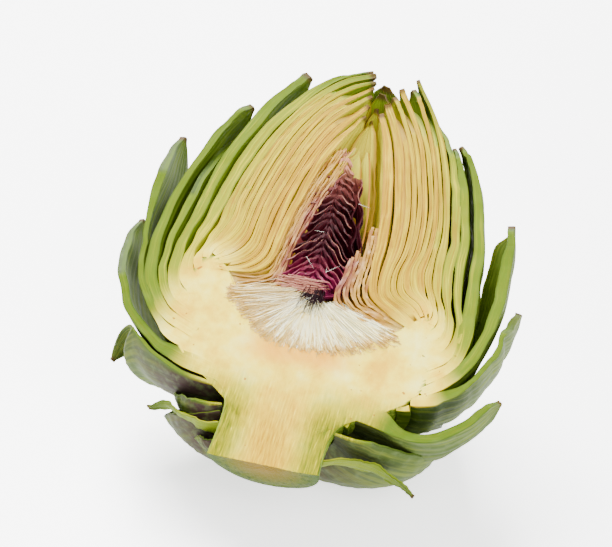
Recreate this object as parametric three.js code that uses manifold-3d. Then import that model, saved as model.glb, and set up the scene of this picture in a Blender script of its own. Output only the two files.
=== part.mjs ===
// One half of a globe artichoke, cut lengthways and lying on its round back with the cut face up.
// Millimetres, +Z up. The head is worked out in its own frame: x runs across the cut face, height runs
// along the axis from the stem's cut end to the tip, and depth runs from the cut face into the back.
import * as THREE from "three";
import Module from "manifold-3d";
import { mergeVertices } from "three/addons/utils/BufferGeometryUtils.js";

const wasm = await Module();
wasm.setup();

// How the half lies: the cut face leans towards the stem, whose cut end hangs just clear of the surface
const HEAD_TILT = THREE.MathUtils.degToRad(28);
const STEM_END_HEIGHT = 21.8;

// The back is a little flatter than half a circle
const FLATTENING = 0.94;

// Clearance between neighbouring pieces, and the least that a blade may measure
const GAP = 0.35;
const LEAST_OVERLAP = 0.001;
const THINNEST_BLADE = 0.7;
const TIP_WIDTH = 1.4;

// The lines that the bracts follow in the cut face, from where each leaves the heart to its tip, as
// [distance from the axis, height]. They run from the innermost bract to the outermost.
const RIGHT_LINES = [
  [[22, 42], [15, 45], [11, 49], [9.5, 56], [8.5, 64], [7.5, 73], [5.5, 82], [2.5, 90], [0.8, 96]],
  [[25, 40.5], [18, 44.2], [13.4, 48], [12.2, 54], [12, 61], [11, 70], [8.5, 80], [5.8, 90], [2.2, 98]],
  [
    [26.5, 41.5], [21, 45.4], [16, 48.5], [14.8, 54], [15.3, 61], [14.7, 70], [12.2, 80], [9.2, 91],
    [4.4, 102],
  ],
  [
    [27.5, 42.6], [23.5, 46.4], [18.7, 49.3], [17.4, 54.5], [18.3, 61], [17.8, 70], [15.1, 81],
    [11.6, 92], [6, 104],
  ],
  [[28, 43.8], [25.5, 48], [21.4, 51], [20, 56], [21, 62], [20.3, 71], [17.4, 82], [13.6, 93], [7.2, 106]],
  [
    [28.5, 44], [28, 48], [24.8, 51.8], [23.2, 57], [23.8, 63], [22.7, 73], [19.6, 84], [15.2, 95],
    [8.4, 107.5],
  ],
  [
    [29, 38.5], [31.4, 42.6], [30.6, 47.4], [27.8, 52.6], [26.5, 59], [26.2, 67], [23.8, 77], [20.4, 88],
    [15.4, 99], [8.5, 109],
  ],
  [
    [29.5, 35.5], [33.4, 39], [33.6, 45], [31, 51], [29.5, 58], [29, 66], [26.6, 77], [23.2, 87],
    [19.2, 95.5], [15.5, 101.5],
  ],
  [
    [30.5, 32.5], [35.2, 36.4], [35.9, 43], [33.7, 50], [32, 58], [31.2, 67], [28.8, 76], [25.8, 85],
    [22.2, 93.5],
  ],
  [
    [31.5, 28.5], [36, 32.6], [38.3, 39], [37.6, 48], [36.3, 57], [35.2, 66], [32.9, 75], [30.2, 82.5],
    [27, 89], [23.8, 93],
  ],
  [[31.5, 25.5], [37, 29.6], [41.4, 36.5], [43.3, 45], [43.8, 54], [43.2, 62], [42.2, 68.5], [41, 73.5]],
  [[30, 22], [36.5, 24.6], [42, 29.4], [45.5, 36.6], [46.9, 44.5], [47.8, 50.5], [48.2, 54.5]],
  [[18, 16.6], [25, 15.6], [32, 14.4], [38, 15.6], [43, 19], [46.6, 23.6], [49.3, 28.6]],
];
const LEFT_LINES = [
  [[22, 48], [15.5, 49], [12, 53], [10.8, 59], [10, 66], [8.6, 74], [6.6, 82], [4, 89], [1.2, 95]],
  [[24, 47.6], [18, 48.8], [14.2, 52], [13, 58], [12.4, 65], [11.2, 73], [9, 82], [6, 90], [2.4, 98]],
  [
    [26, 47.8], [20, 49.6], [16.2, 53.2], [15.3, 59], [14.8, 66], [13.4, 74], [11, 83], [7.6, 92],
    [3.6, 101],
  ],
  [
    [27, 48.8], [21.6, 51], [18.4, 55], [17.7, 61], [17.4, 67], [15.8, 75], [13.2, 85], [9.6, 95],
    [4.8, 104.5],
  ],
  [
    [27.8, 49.8], [23.6, 52.8], [20.8, 57], [20.4, 63], [19.9, 69], [18, 78], [15, 88], [11, 98],
    [5.8, 107.5],
  ],
  [
    [28.6, 49.6], [28, 53.6], [25, 57], [23.4, 61.5], [23.1, 68], [21.2, 78], [17.8, 89], [13.2, 99.5],
    [7.2, 109],
  ],
  [
    [29.4, 46.6], [31, 50.6], [29.2, 56], [27.2, 61.5], [26.6, 69], [24.2, 79], [20.4, 90], [15.4, 100.6],
    [8.6, 110],
  ],
  [
    [29, 40.5], [33, 44.6], [33.8, 50], [32, 56], [30.3, 62.6], [29.2, 71.5], [26.4, 82], [22.2, 92],
    [16.8, 102], [9.8, 111],
  ],
  [
    [28, 36], [33.8, 39.4], [36.6, 45.6], [36.6, 52.5], [34.9, 60.5], [33.8, 69.5], [31.8, 79.5],
    [28.4, 89.5], [24.2, 98.5], [19, 106],
  ],
  [
    [27, 33], [34.4, 36.6], [38.6, 43.4], [39.4, 50.8], [38.2, 60], [37.2, 70], [35.1, 80], [32.2, 89.5],
    [28.2, 96.5],
  ],
  [
    [25.5, 30], [34, 33.4], [39.9, 40], [42, 48], [42.2, 58], [41.3, 67.5], [39.2, 76.5], [36.2, 86.5],
    [31.4, 95.5],
  ],
  [[27, 26.6], [34.6, 30], [41, 36.6], [44.6, 44.5], [46.2, 54], [46.7, 63], [47.1, 73], [48.2, 86]],
  [[17, 20.2], [27, 22.2], [36, 26.4], [43.6, 33], [48.3, 41.8], [50.6, 50.5], [52.6, 58], [53.8, 63.2]],
];

// The heart's outline on each side: up the stem, along the flank that the bracts grow from, over the rim
// and down into the bowl that the choke sits in
const RIGHT_HEART = [
  [13.4, 0], [13.2, 4], [13.4, 8], [14.4, 12], [17.5, 15], [22.5, 17.8], [28, 21.5], [31.4, 26],
  [31.8, 30.5], [30.4, 34.8], [27.6, 38], [24, 38.4], [18, 35.6], [10, 32.2],
];
const LEFT_HEART = [
  [13.4, 0], [13.1, 4], [12.9, 9], [13.4, 14], [16, 18], [21.5, 20.6], [27.4, 24.2], [31, 29.5],
  [31.8, 36], [30.6, 42], [27.6, 45.6], [22, 43.6], [15.4, 38.4], [9, 33.2],
];
const BOWL_CENTRE = 30.6;

// The choke fills the bowl and heaps up to a pit in its middle; its top bristles in rows
const RIGHT_CHOKE = [[9.6, 32.6], [17.4, 35.8], [22.4, 38.6], [17, 40], [10, 40.8], [4.6, 41.6]];
const LEFT_CHOKE = [[8.8, 33.6], [15, 38.6], [21.2, 43.6], [16, 43.6], [10, 43], [4.8, 42.2]];
const CHOKE_FOOT = 31.1;
const CHOKE_PIT = 40.2;
const BRISTLE_ROWS = [6, 10, 14, 18];
const BRISTLE_SPACING = 3;
const BRISTLE_LENGTH = 4.2;
const BRISTLE_THICKNESS = 1.5;
const BRISTLE_SINK = 1.2;

// The violet leaves over the choke stand on a slim core in three layers, from the outermost in. Each
// layer is [number of leaves, half width of one, how far round the first is set from the cut face].
const RIGHT_VIOLET_LINES = [
  [[2.4, 45.4], [6, 47.6], [7.8, 52.6], [7, 60], [4.8, 69], [2, 79]],
  [[2, 46.2], [4, 48.8], [5.4, 54], [4.4, 61], [1.8, 71]],
  [[1.4, 46.8], [1.8, 50], [2, 55.6], [1.6, 61], [1.2, 65]],
];
const LEFT_VIOLET_LINES = [
  [[2.4, 45.4], [6.8, 48], [9.2, 53.6], [8.4, 61], [5.8, 70], [2.4, 80]],
  [[2, 46.2], [4.6, 49], [6.2, 54.6], [5.2, 62], [2, 72]],
  [[1.4, 46.8], [1.8, 50], [2, 56], [1.6, 62], [1.2, 66]],
];
const VIOLET_LAYERS = [[7, 3.2, 12], [4, 2.8, 30], [2, 1.8, 50]];
const VIOLET_CORE = [[1.6, 43.4], [2.4, 45], [2.3, 48], [1.9, 53], [1.3, 58]];
const VIOLET_THICKNESS = 0.8;
const VIOLET_WAVE = 0.5;

// Every bract is [name, line, azimuth of its midrib, half width, thickness at the midrib, how far its
// margins curl in]. Azimuth 0 is the right edge of the cut face, 90 the back, 180 the left edge.
const BRACTS = [
  ["cavity_bract_middle", 0.2, 90, 12, 0.9, 0],
  ["cut_bract_right_1", 1, 22, 12, 1.0, 0],
  ["cut_bract_left_1", 1, 158, 12, 1.0, 0],
  ["cut_bract_right_2", 2, 8, 14, 1.4, 0],
  ["cut_bract_left_2", 2, 172, 14, 1.4, 0],
  ["back_bract_inner_1", 2, 90, 7.5, 1.2, 0],
  ["margin_bract_right_1", 2.5, 40, 13, 0.7, 0],
  ["margin_bract_left_1", 2.5, 140, 12, 0.7, 0],
  ["cut_bract_right_3", 3, 24, 15, 1.1, 0],
  ["cut_bract_left_3", 3, 156, 15, 1.1, 0],
  ["margin_bract_right_2", 3.5, 40, 15, 0.7, 0],
  ["margin_bract_left_2", 3.5, 140, 15, 0.7, 0],
  ["cut_bract_right_4", 4, 6, 16, 1.1, 0],
  ["cut_bract_left_4", 4, 174, 16, 1.1, 0],
  ["back_bract_inner_2", 4, 90, 11.5, 1.1, 0],
  ["margin_bract_right_3", 4.5, 42, 17, 0.7, 0],
  ["margin_bract_left_3", 4.5, 138, 17, 0.7, 0],
  ["cut_bract_right_5", 5, 22, 16, 1.1, 0],
  ["cut_bract_left_5", 5, 158, 16, 1.2, 0],
  ["margin_bract_right_4", 5.58, 44, 19, 0.7, 0],
  ["margin_bract_left_4", 5.5, 138, 18, 0.7, 0],
  ["cut_bract_right_6", 6, 6, 18, 1.5, 0],
  ["cut_bract_left_6", 6, 173, 18, 1.6, 0],
  ["back_bract_middle_1", 6, 90, 16, 1.3, 0],
  ["cut_bract_right_7", 7, 26, 17, 1.3, 0],
  ["cut_bract_left_7", 7, 154, 17, 1.9, 0],
  ["back_bract_middle_2", 7, 90, 12, 1.4, 0],
  ["cut_bract_right_8", 8, 12, 18, 1.1, 0],
  ["cut_bract_left_8", 8, 175, 19, 2.6, 0],
  ["back_bract_middle_3", 8, 92, 20, 1.4, 0],
  ["cut_bract_right_9", 9, 5, 18, 3.0, 0.5],
  ["cut_bract_left_9", 9, 156, 17, 1.1, 0],
  ["back_bract_middle_4", 9, 82, 22, 1.6, 0],
  ["back_bract_side_1", 9.5, 46, 15, 1.2, 0.5],
  ["cut_bract_right_10", 10, 3, 12, 2.6, 4],
  ["cut_bract_left_10", 10, 174, 19, 3.2, 1],
  ["back_bract_outer_1", 10, 61, 18, 1.5, 1],
  ["back_bract_outer_2", 10, 117, 18, 1.5, 1],
  ["back_bract_side_2", 10.5, 90, 15, 0.8, 1],
  ["cut_bract_right_11", 11, 12, 14, 2.0, 2.5],
  ["cut_bract_left_11", 11, 170, 13, 1.9, 4],
  ["back_bract_outer_3", 11, 62, 18, 1.8, 1.5],
  ["back_bract_outer_4", 11, 122, 19, 1.8, 1.5],
];

// The lowest bracts, off the lines above: [name, azimuth, half width, thickness, curl, its own line]
const LOW_BRACTS = [
  ["cut_bract_right_12", 5, 12, 2.3, 1.5, RIGHT_LINES[12]],
  ["cut_bract_left_12", 166, 14, 2.7, 4, LEFT_LINES[12]],
  [
    "low_bract_back", 92, 19, 1.5, 0,
    [[15, 13.4], [26, 15.6], [36, 20], [42.6, 28], [47.6, 38], [51.6, 47], [53, 56]],
  ],
  [
    "low_bract_right", 50, 16, 1.6, 0,
    [[14.4, 11], [22, 10.6], [30, 11.4], [36.6, 14.4], [41, 20], [43.6, 26.5]],
  ],
  [
    "low_bract_left", 128, 15, 1.6, 0,
    [[14, 11.4], [22, 10.6], [30, 11.4], [36, 14.4], [40, 19], [42.6, 24.5]],
  ],
  [
    "recurved_bract_left", 158, 12, 1.6, 0,
    [[14.4, 16], [23, 17], [32, 20.2], [40, 26], [45.4, 32.4], [48.6, 34.6], [51.6, 33], [54, 28.6]],
  ],
  ["crescent_bract_left", 148, 7, 1.2, 0, [[13.8, 13], [19, 12.6], [25, 14], [30, 17], [33, 20]]],
  ["stem_bract_left", 146, 5, 1.2, 0, [[13.6, 5], [16.6, 4.6], [20.4, 6], [23.6, 8.6]]],
  ["strap_leaf_left", 166, 3, 1.2, 0, [[13.6, 8.6], [18, 8.4], [24, 10.4], [30, 12.4], [34.6, 12]]],
  ["strap_leaf_right", 18, 2.8, 1.3, 0, [[13.4, 4.6], [18, 6.8], [24, 7.6], [30, 6.6], [36, 4]]],
];

// Grid steps of a blade, along it and across it
const STEPS_ALONG = 8;
const STEPS_ACROSS = 4;
const VIOLET_STEPS_ALONG = 4;
const VIOLET_STEPS_ACROSS = 2;
const HEART_TURNS = 16;
const WIDEST_ANGLE = 48;

// Up to this line thin bracts stand between the drawn lines; they start and end short of the others
const LAST_CROWDED = 6;
const SHORT_STRETCH = [0.14, 0.82];

// Bracts go from pale yellow inside to green outside
const INNER_COLOUR = 0xf0e07a;
const OUTER_COLOUR = 0x8ba83c;
const OUTERMOST = 12;

const radians = THREE.MathUtils.degToRad;
const degrees = THREE.MathUtils.radToDeg;
const mix = THREE.MathUtils.lerp;

// A small repeatable random source, so that every run grows the same head
function seeded(seed) {
  let state = seed;
  return () => {
    state = (state * 16807) % 2147483647;
    return state / 2147483647;
  };
}

const curveThrough = (points) => new THREE.SplineCurve(points.map(([r, h]) => new THREE.Vector2(r, h)));

// How much of the left side's shape holds at an azimuth: none near the right cut edge, all near the left
function leftShare(azimuth) {
  return THREE.MathUtils.smoothstep(azimuth / 180, 0.1, 0.9);
}

// A point of a family of lines: the line may lie between two drawn ones, the azimuth between both sides
function pointOf(family, line, along, azimuth) {
  const [right, left] = family;
  const low = Math.max(Math.min(Math.floor(line), right.length - 2), 0);
  const between = (curves) => {
    if (curves.length === 1) return curves[0].getPointAt(along);
    return curves[low].getPointAt(along).lerp(curves[low + 1].getPointAt(along), line - low);
  };
  return between(right).lerp(between(left), leftShare(azimuth));
}

// A point in the head's frame, from cylindrical coordinates about the axis
function headPoint(radius, height, azimuth) {
  return [radius * Math.cos(radians(azimuth)), height, -radius * Math.sin(radians(azimuth)) * FLATTENING];
}

// Weight presses what would hang below the surface flat against it: the point is lifted straight up
function pressed(point, least) {
  const [x, height, z] = point;
  const level = STEM_END_HEIGHT + height * Math.sin(HEAD_TILT) + z * Math.cos(HEAD_TILT);
  const lift = Math.max(least - level, 0);
  return [x, height + lift * Math.sin(HEAD_TILT), z + lift * Math.cos(HEAD_TILT)];
}

// A closed mesh as a solid that can be joined and cut
function solidOf(positions, triangles) {
  const mesh = new wasm.Mesh({
    numProp: 3,
    vertProperties: new Float32Array(positions.flat()),
    triVerts: new Uint32Array(triangles.flat()),
  });
  return new wasm.Manifold(mesh);
}

// A three.js geometry as a solid
function solidOfGeometry(geometry) {
  const plain = geometry.clone();
  plain.deleteAttribute("normal");
  plain.deleteAttribute("uv");
  const merged = mergeVertices(plain, 1e-4);
  const mesh = new wasm.Mesh({
    numProp: 3,
    vertProperties: merged.attributes.position.array,
    triVerts: new Uint32Array(merged.index.array),
  });
  return new wasm.Manifold(mesh);
}

// The largest piece of a solid: a cut can leave scraps beside it
function largestOf(solid) {
  return solid.decompose().sort((a, b) => b.volume() - a.volume())[0];
}

// Two grids of points, one over the other, closed round their edge into one solid
function slab(outer, inner, rows, columns) {
  const under = rows * columns;
  const at = (row, column) => row * columns + column;
  const triangles = [];
  for (let row = 0; row < rows - 1; row++) {
    for (let column = 0; column < columns - 1; column++) {
      const [a, b] = [at(row, column), at(row, column + 1)];
      const [c, d] = [at(row + 1, column), at(row + 1, column + 1)];
      triangles.push([a, b, d], [a, d, c]);
      triangles.push([a + under, d + under, b + under], [a + under, c + under, d + under]);
    }
  }
  const rim = [];
  for (let column = 0; column < columns - 1; column++) rim.push(at(0, column));
  for (let row = 0; row < rows - 1; row++) rim.push(at(row, columns - 1));
  for (let column = columns - 1; column > 0; column--) rim.push(at(rows - 1, column));
  for (let row = rows - 1; row > 0; row--) rim.push(at(row, 0));
  rim.forEach((here, i) => {
    const next = rim[(i + 1) % rim.length];
    triangles.push([here, here + under, next + under], [here, next + under, next]);
  });
  return solidOf([...outer, ...inner], triangles);
}

// A bract's half width at a share of its length: widest at two fifths, pointed at the tip
function widthShare(along) {
  const widest = 0.4;
  if (along < widest) return mix(0.7, 1, Math.sin((along / widest) * (Math.PI / 2)));
  return Math.pow(1 - Math.pow((along - widest) / (1 - widest), 2.1), 0.8);
}

// Slim where it leaves the heart, thick over the lower half of the midrib, thin at margins and tip
function thicknessShare(along, across) {
  const lengthways = along < 0.3 ? mix(0.45, 1, along / 0.3) : mix(1, 0.4, (along - 0.3) / 0.7);
  return lengthways * (1 - 0.6 * across * across);
}

// How thick a bract may be where others stand between its line and the next
function roomAt({ family, line }, along, azimuth, point, outward) {
  const within = point.clone().sub(pointOf(family, line - 0.5, along, azimuth)).dot(outward);
  const without = pointOf(family, line + 0.5, along, azimuth).sub(point).dot(outward);
  return 2 * (0.95 * Math.min(within, without) - GAP) - THINNEST_BLADE;
}

// One bract as a cupped blade, stopped at the cut face on either side. Grown by a margin it is the room
// that its neighbours leave for it.
function blade(bract, margin = 0) {
  const { family, line, azimuth, halfWidth, thickness, curl, wave = 0, alongSteps, acrossSteps } = bract;
  const [start, end] = bract.stretch ?? [0, 1];
  const outer = [];
  const inner = [];
  for (let row = 0; row <= alongSteps; row++) {
    const along = row / alongSteps;
    const way = mix(start, end, along);
    const middle = pointOf(family, line, way, azimuth);
    const reach = Math.max(halfWidth * widthShare(along), TIP_WIDTH / 2) + margin;
    const halfAngle = Math.min(degrees(reach / Math.max(middle.x, 4)), bract.widestAngle);
    const from = Math.max(-azimuth / halfAngle, -1);
    const to = Math.min((180 - azimuth) / halfAngle, 1);
    const cut = Math.abs(from) < Math.abs(to) ? from : to;
    const inward = curl * THREE.MathUtils.smoothstep(along, 0.05, 0.5);
    for (let column = 0; column <= acrossSteps; column++) {
      const across = mix(from, to, column / acrossSteps);
      const here = azimuth + across * halfAngle;
      const point = pointOf(family, line, way, here);
      const ahead = pointOf(family, line, Math.min(way + 0.01, 1), here);
      const behind = pointOf(family, line, Math.max(way - 0.01, 0), here);
      const direction = ahead.sub(behind).normalize();
      const outward = new THREE.Vector2(direction.y, -direction.x);
      const room = bract.crowded ? roomAt(bract, way, here, point, outward) : thickness;
      const thick = Math.max(Math.min(thickness * thicknessShare(along, across), room), THINNEST_BLADE);
      const half = thick / 2 + margin;
      const shift = inward * Math.min(cut * cut - across * across, 0);
      const ripple = wave * Math.sin(along * 14 + across * 2);
      const radius = Math.max(point.x + shift + ripple, half + 0.2);
      const [sideways, up] = [outward.x * half, outward.y * half];
      outer.push(pressed(headPoint(radius + sideways, point.y + up, here), -margin));
      inner.push(pressed(headPoint(Math.max(radius - sideways, 0.1), point.y - up, here), thick + margin));
    }
  }
  return slab(outer, inner, alongSteps + 1, acrossSteps + 1);
}

// A solid swept half way round the axis between two outlines, which may differ on the two sides. Grown
// by a margin it also passes the cut face a little, so that what it cuts is cut right through.
function halfTurn(rightOutline, leftOutline, firstOnAxis, lastOnAxis, margin = 0) {
  const steps = rightOutline.length;
  const positions = [[0, firstOnAxis - margin, margin], [0, lastOnAxis + margin, margin]];
  const grown = (outline, i) => {
    const before = outline[Math.max(i - 1, 0)];
    const after = outline[Math.min(i + 1, steps - 1)];
    const direction = new THREE.Vector2(after[0] - before[0], after[1] - before[1]).normalize();
    return [outline[i][0] + direction.y * margin, outline[i][1] - direction.x * margin];
  };
  for (let ring = 0; ring <= HEART_TURNS; ring++) {
    const azimuth = (180 * ring) / HEART_TURNS;
    const share = leftShare(azimuth);
    for (let i = 0; i < steps; i++) {
      const [a, b] = [grown(rightOutline, i), grown(leftOutline, i)];
      const [x, height, z] = headPoint(mix(a[0], b[0], share), mix(a[1], b[1], share), azimuth);
      positions.push([x, height, ring === 0 || ring === HEART_TURNS ? margin : z]);
    }
  }
  const at = (ring, i) => 2 + ring * steps + i;
  const triangles = [];
  for (let ring = 0; ring < HEART_TURNS; ring++) {
    triangles.push([0, at(ring + 1, 0), at(ring, 0)]);
    triangles.push([1, at(ring, steps - 1), at(ring + 1, steps - 1)]);
    for (let i = 0; i < steps - 1; i++) {
      triangles.push([at(ring, i), at(ring + 1, i), at(ring + 1, i + 1)]);
      triangles.push([at(ring, i), at(ring + 1, i + 1), at(ring, i + 1)]);
    }
  }
  const loop = [0];
  for (let i = 0; i < steps; i++) loop.push(at(0, i));
  loop.push(1);
  for (let i = steps - 1; i >= 0; i--) loop.push(at(HEART_TURNS, i));
  const flat = loop.map((i) => new THREE.Vector2(positions[i][0], positions[i][1]));
  for (const [a, b, c] of THREE.ShapeUtils.triangulateShape(flat, [])) {
    const turn = flat[b].clone().sub(flat[a]).cross(flat[c].clone().sub(flat[a]));
    triangles.push(turn > 0 ? [loop[a], loop[b], loop[c]] : [loop[a], loop[c], loop[b]]);
  }
  return solidOf(positions, triangles);
}

// The choke: a low heap with rows of three-sided bristles standing out of it towards the pit
function chokeSolid() {
  const core = halfTurn(RIGHT_CHOKE, LEFT_CHOKE, CHOKE_FOOT, CHOKE_PIT);
  const random = seeded(41);
  const bristles = [];
  const tops = [RIGHT_CHOKE, LEFT_CHOKE].map((outline) => [curveThrough(outline.slice(2).reverse())]);
  for (const radius of BRISTLE_ROWS) {
    const count = Math.round((Math.PI * radius) / BRISTLE_SPACING);
    const along = (radius - 4.6) / 18;
    for (let i = 0; i <= count; i++) {
      const azimuth = mix(0, 180, (i + 0.3 * (random() - 0.5)) / count);
      const clamped = THREE.MathUtils.clamp(azimuth, 0, 180);
      const root = pointOf(tops, 0, along, clamped);
      const lean = mix(0.15, 1.1, radius / 20);
      const length = BRISTLE_LENGTH * mix(0.8, 1.2, random());
      const needle = new THREE.ConeGeometry(BRISTLE_THICKNESS / 2, length, 3);
      needle.translate(0, length / 2 - BRISTLE_SINK, 0);
      needle.rotateZ(lean);
      needle.translate(root.x, root.y, 0);
      needle.rotateY(radians(clamped));
      bristles.push(solidOfGeometry(needle));
    }
  }
  const room = [0, 0, -1];
  return largestOf(wasm.Manifold.union([core, ...bristles]).trimByPlane(room, 0));
}

// The violet leaves over the choke, rooted in their core
function violetSolid() {
  const family = [RIGHT_VIOLET_LINES.map(curveThrough), LEFT_VIOLET_LINES.map(curveThrough)];
  const core = halfTurn(VIOLET_CORE, VIOLET_CORE, 42.9, 58.6);
  const leaves = [];
  VIOLET_LAYERS.forEach(([count, halfWidth, first], layer) => {
    for (let i = 0; i < count; i++) {
      leaves.push(
        blade({
          family,
          line: layer,
          azimuth: mix(first, 180 - first, i / (count - 1)),
          halfWidth,
          thickness: VIOLET_THICKNESS,
          curl: 0,
          wave: VIOLET_WAVE * (i % 2 ? 1 : -1),
          widestAngle: 30,
          alongSteps: VIOLET_STEPS_ALONG,
          acrossSteps: VIOLET_STEPS_ACROSS,
        }),
      );
    }
  });
  return largestOf(wasm.Manifold.union([core, ...leaves]));
}

// A solid as a plainly named mesh in its own colour
function meshOf(solid, name, colour, roughness) {
  const grown = solid.getMesh();
  const geometry = new THREE.BufferGeometry();
  geometry.setAttribute("position", new THREE.BufferAttribute(grown.vertProperties, 3));
  geometry.setIndex(new THREE.BufferAttribute(grown.triVerts, 1));
  geometry.computeVertexNormals();
  const material = new THREE.MeshStandardMaterial({ color: colour, roughness, metalness: 0 });
  const mesh = new THREE.Mesh(geometry, material);
  mesh.name = name;
  return mesh;
}

// Whether two solids' boxes meet
function boxesMeet(a, b) {
  const [one, other] = [a.boundingBox(), b.boundingBox()];
  return [0, 1, 2].every((axis) => one.min[axis] < other.max[axis] && other.min[axis] < one.max[axis]);
}

const bractFamily = [RIGHT_LINES.map(curveThrough), LEFT_LINES.map(curveThrough)];
const grid = { alongSteps: STEPS_ALONG, acrossSteps: STEPS_ACROSS, widestAngle: WIDEST_ANGLE };
const bracts = BRACTS.map(([name, line, azimuth, halfWidth, thickness, curl]) => {
  const crowded = line > 1 && line <= LAST_CROWDED;
  const stretch = crowded && !Number.isInteger(line) ? SHORT_STRETCH : [0, 1];
  const measures = { azimuth, halfWidth, thickness, curl, stretch };
  return { name, family: bractFamily, line, crowded, ...measures, ...grid };
});
for (const [name, azimuth, halfWidth, thickness, curl, ownLine] of LOW_BRACTS) {
  const family = [[curveThrough(ownLine)], [curveThrough(ownLine)]];
  bracts.push({ name, family, line: OUTERMOST, azimuth, halfWidth, thickness, curl, ...grid });
}

// Each bract leaves room for the heart, the choke and the bracts placed before it
const heart = halfTurn(RIGHT_HEART, LEFT_HEART, 0, BOWL_CENTRE);
const placed = [{ room: halfTurn(RIGHT_HEART, LEFT_HEART, 0, BOWL_CENTRE, GAP) }];
for (const bract of bracts) {
  bract.solid = blade(bract);
  for (const earlier of placed) {
    if (!boxesMeet(bract.solid, earlier.room)) continue;
    if (bract.solid.intersect(earlier.room).volume() < LEAST_OVERLAP) continue;
    bract.solid = largestOf(bract.solid.subtract(earlier.room));
  }
  bract.room = blade(bract, GAP).add(bract.solid);
  placed.push(bract);
}

const head = new THREE.Group();
head.add(meshOf(heart, "heart_with_stem", 0xe9dc9c, 0.6));
head.add(meshOf(chokeSolid(), "choke_bristles", 0xfbf6df, 0.85));
head.add(meshOf(violetSolid(), "violet_inner_leaves", 0x6b1136, 0.6));
for (const bract of bracts) {
  const greenness = THREE.MathUtils.clamp((bract.line - 4) / 6, 0, 1);
  const colour = new THREE.Color(INNER_COLOUR).lerp(new THREE.Color(OUTER_COLOUR), greenness);
  head.add(meshOf(bract.solid, bract.name, colour, 0.55));
}

// The head is turned into the way that it lies, with the middle of its box's underside at the origin
head.rotation.x = HEAD_TILT;
head.position.z = STEM_END_HEIGHT;
head.updateMatrixWorld(true);
const box = new THREE.Box3().setFromObject(head, true);
head.position.x -= (box.min.x + box.max.x) / 2;
head.position.y -= (box.min.y + box.max.y) / 2;
head.position.z -= box.min.z;

export default head;
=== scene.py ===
import math
import random

import bmesh
import bpy
import numpy as np
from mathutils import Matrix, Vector


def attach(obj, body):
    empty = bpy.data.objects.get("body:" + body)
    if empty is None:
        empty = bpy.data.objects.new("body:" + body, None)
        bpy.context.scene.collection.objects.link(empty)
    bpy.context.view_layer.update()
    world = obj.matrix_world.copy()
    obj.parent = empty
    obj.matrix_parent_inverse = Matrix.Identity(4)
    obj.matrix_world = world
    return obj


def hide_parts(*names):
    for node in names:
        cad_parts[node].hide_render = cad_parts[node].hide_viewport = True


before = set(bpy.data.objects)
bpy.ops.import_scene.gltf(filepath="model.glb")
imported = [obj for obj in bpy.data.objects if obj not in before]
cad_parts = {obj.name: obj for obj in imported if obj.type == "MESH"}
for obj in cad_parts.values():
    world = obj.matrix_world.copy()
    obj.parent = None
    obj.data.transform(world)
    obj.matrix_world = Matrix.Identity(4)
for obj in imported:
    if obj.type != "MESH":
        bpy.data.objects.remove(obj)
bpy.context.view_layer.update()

# The half head lies on its round back. Its own frame has x across the cut face, height along the axis
# from the stem's cut end, and depth from the cut face into the back; it is tilted by this much.
MM = 0.001
HEAD_TILT = math.radians(28)
FLATTENING = 0.94
STEM_END = Vector((1.601, -50.397, 21.8)) * MM


def row_place(x, height, depth):
    """Millimetres in the half head's own frame, as arrays, to metres in the shared frame."""
    return np.stack([
        STEM_END.x + x * MM,
        STEM_END.y + (height * math.cos(HEAD_TILT) + depth * math.sin(HEAD_TILT)) * MM,
        STEM_END.z + (height * math.sin(HEAD_TILT) - depth * math.cos(HEAD_TILT)) * MM,
    ], axis=-1)


def placed(name, data):
    """A new object in the scene."""
    made = bpy.data.objects.new(name, data)
    bpy.context.scene.collection.objects.link(made)
    return made


# The camera looks down at the cut face from the stem's side, a little from the right, with a long lens.
AIM_HEIGHT = 45.0
CAMERA_AZIMUTH = math.radians(18)
CAMERA_ELEVATION = math.radians(34)
CAMERA_DISTANCE = 0.6
LENS = 148.2
FRAMING = (-0.0021, 0.0054)
towards_camera = Vector((
    math.sin(CAMERA_AZIMUTH) * math.cos(CAMERA_ELEVATION),
    -math.cos(CAMERA_AZIMUTH) * math.cos(CAMERA_ELEVATION),
    math.sin(CAMERA_ELEVATION),
))
camera = placed("camera", bpy.data.cameras.new("camera"))
camera.data.lens = LENS
camera.data.sensor_width = 36
turn = towards_camera.to_track_quat("Z", "Y")
aim = Vector(row_place(np.array(0.0), np.array(AIM_HEIGHT), np.array(0.0)))
sideways = turn @ Vector((1, 0, 0))
upwards = turn @ Vector((0, 1, 0))
camera.rotation_euler = turn.to_euler()
camera.location = aim + towards_camera * CAMERA_DISTANCE + sideways * FRAMING[0] + upwards * FRAMING[1]
bpy.context.scene.camera = camera

# A white table and soft studio light: a large softbox over the tips, a weaker one from the camera's
# side, and white surroundings.
FLOOR_SIDE = 6.0
floor_mesh = bpy.data.meshes.new("floor")
bm = bmesh.new()
bmesh.ops.create_grid(bm, x_segments=1, y_segments=1, size=FLOOR_SIDE / 2)
bm.to_mesh(floor_mesh)
bm.free()
floor = placed("floor", floor_mesh)
paint = bpy.data.materials.new("white_table")
paint.use_nodes = True
lacquer = paint.node_tree.nodes["Principled BSDF"].inputs
lacquer["Base Color"].default_value = (0.96, 0.96, 0.96, 1)
lacquer["Roughness"].default_value = 0.35
lacquer["Emission Color"].default_value = (1, 1, 1, 1)
lacquer["Emission Strength"].default_value = 1.7
floor_mesh.materials.append(paint)

world = bpy.data.worlds.new("studio")
world.use_nodes = True
world.node_tree.nodes["Background"].inputs["Color"].default_value = (1.0, 1.0, 1.0, 1)
world.node_tree.nodes["Background"].inputs["Strength"].default_value = 1.0
bpy.context.scene.world = world


def softbox(name, place, side, power):
    """A square softbox that faces the head."""
    data = bpy.data.lights.new(name, "AREA")
    data.size = side
    data.energy = power
    lamp = placed(name, data)
    lamp.location = Vector(place)
    lamp.rotation_euler = Vector(place).to_track_quat("Z", "Y").to_euler()


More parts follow.
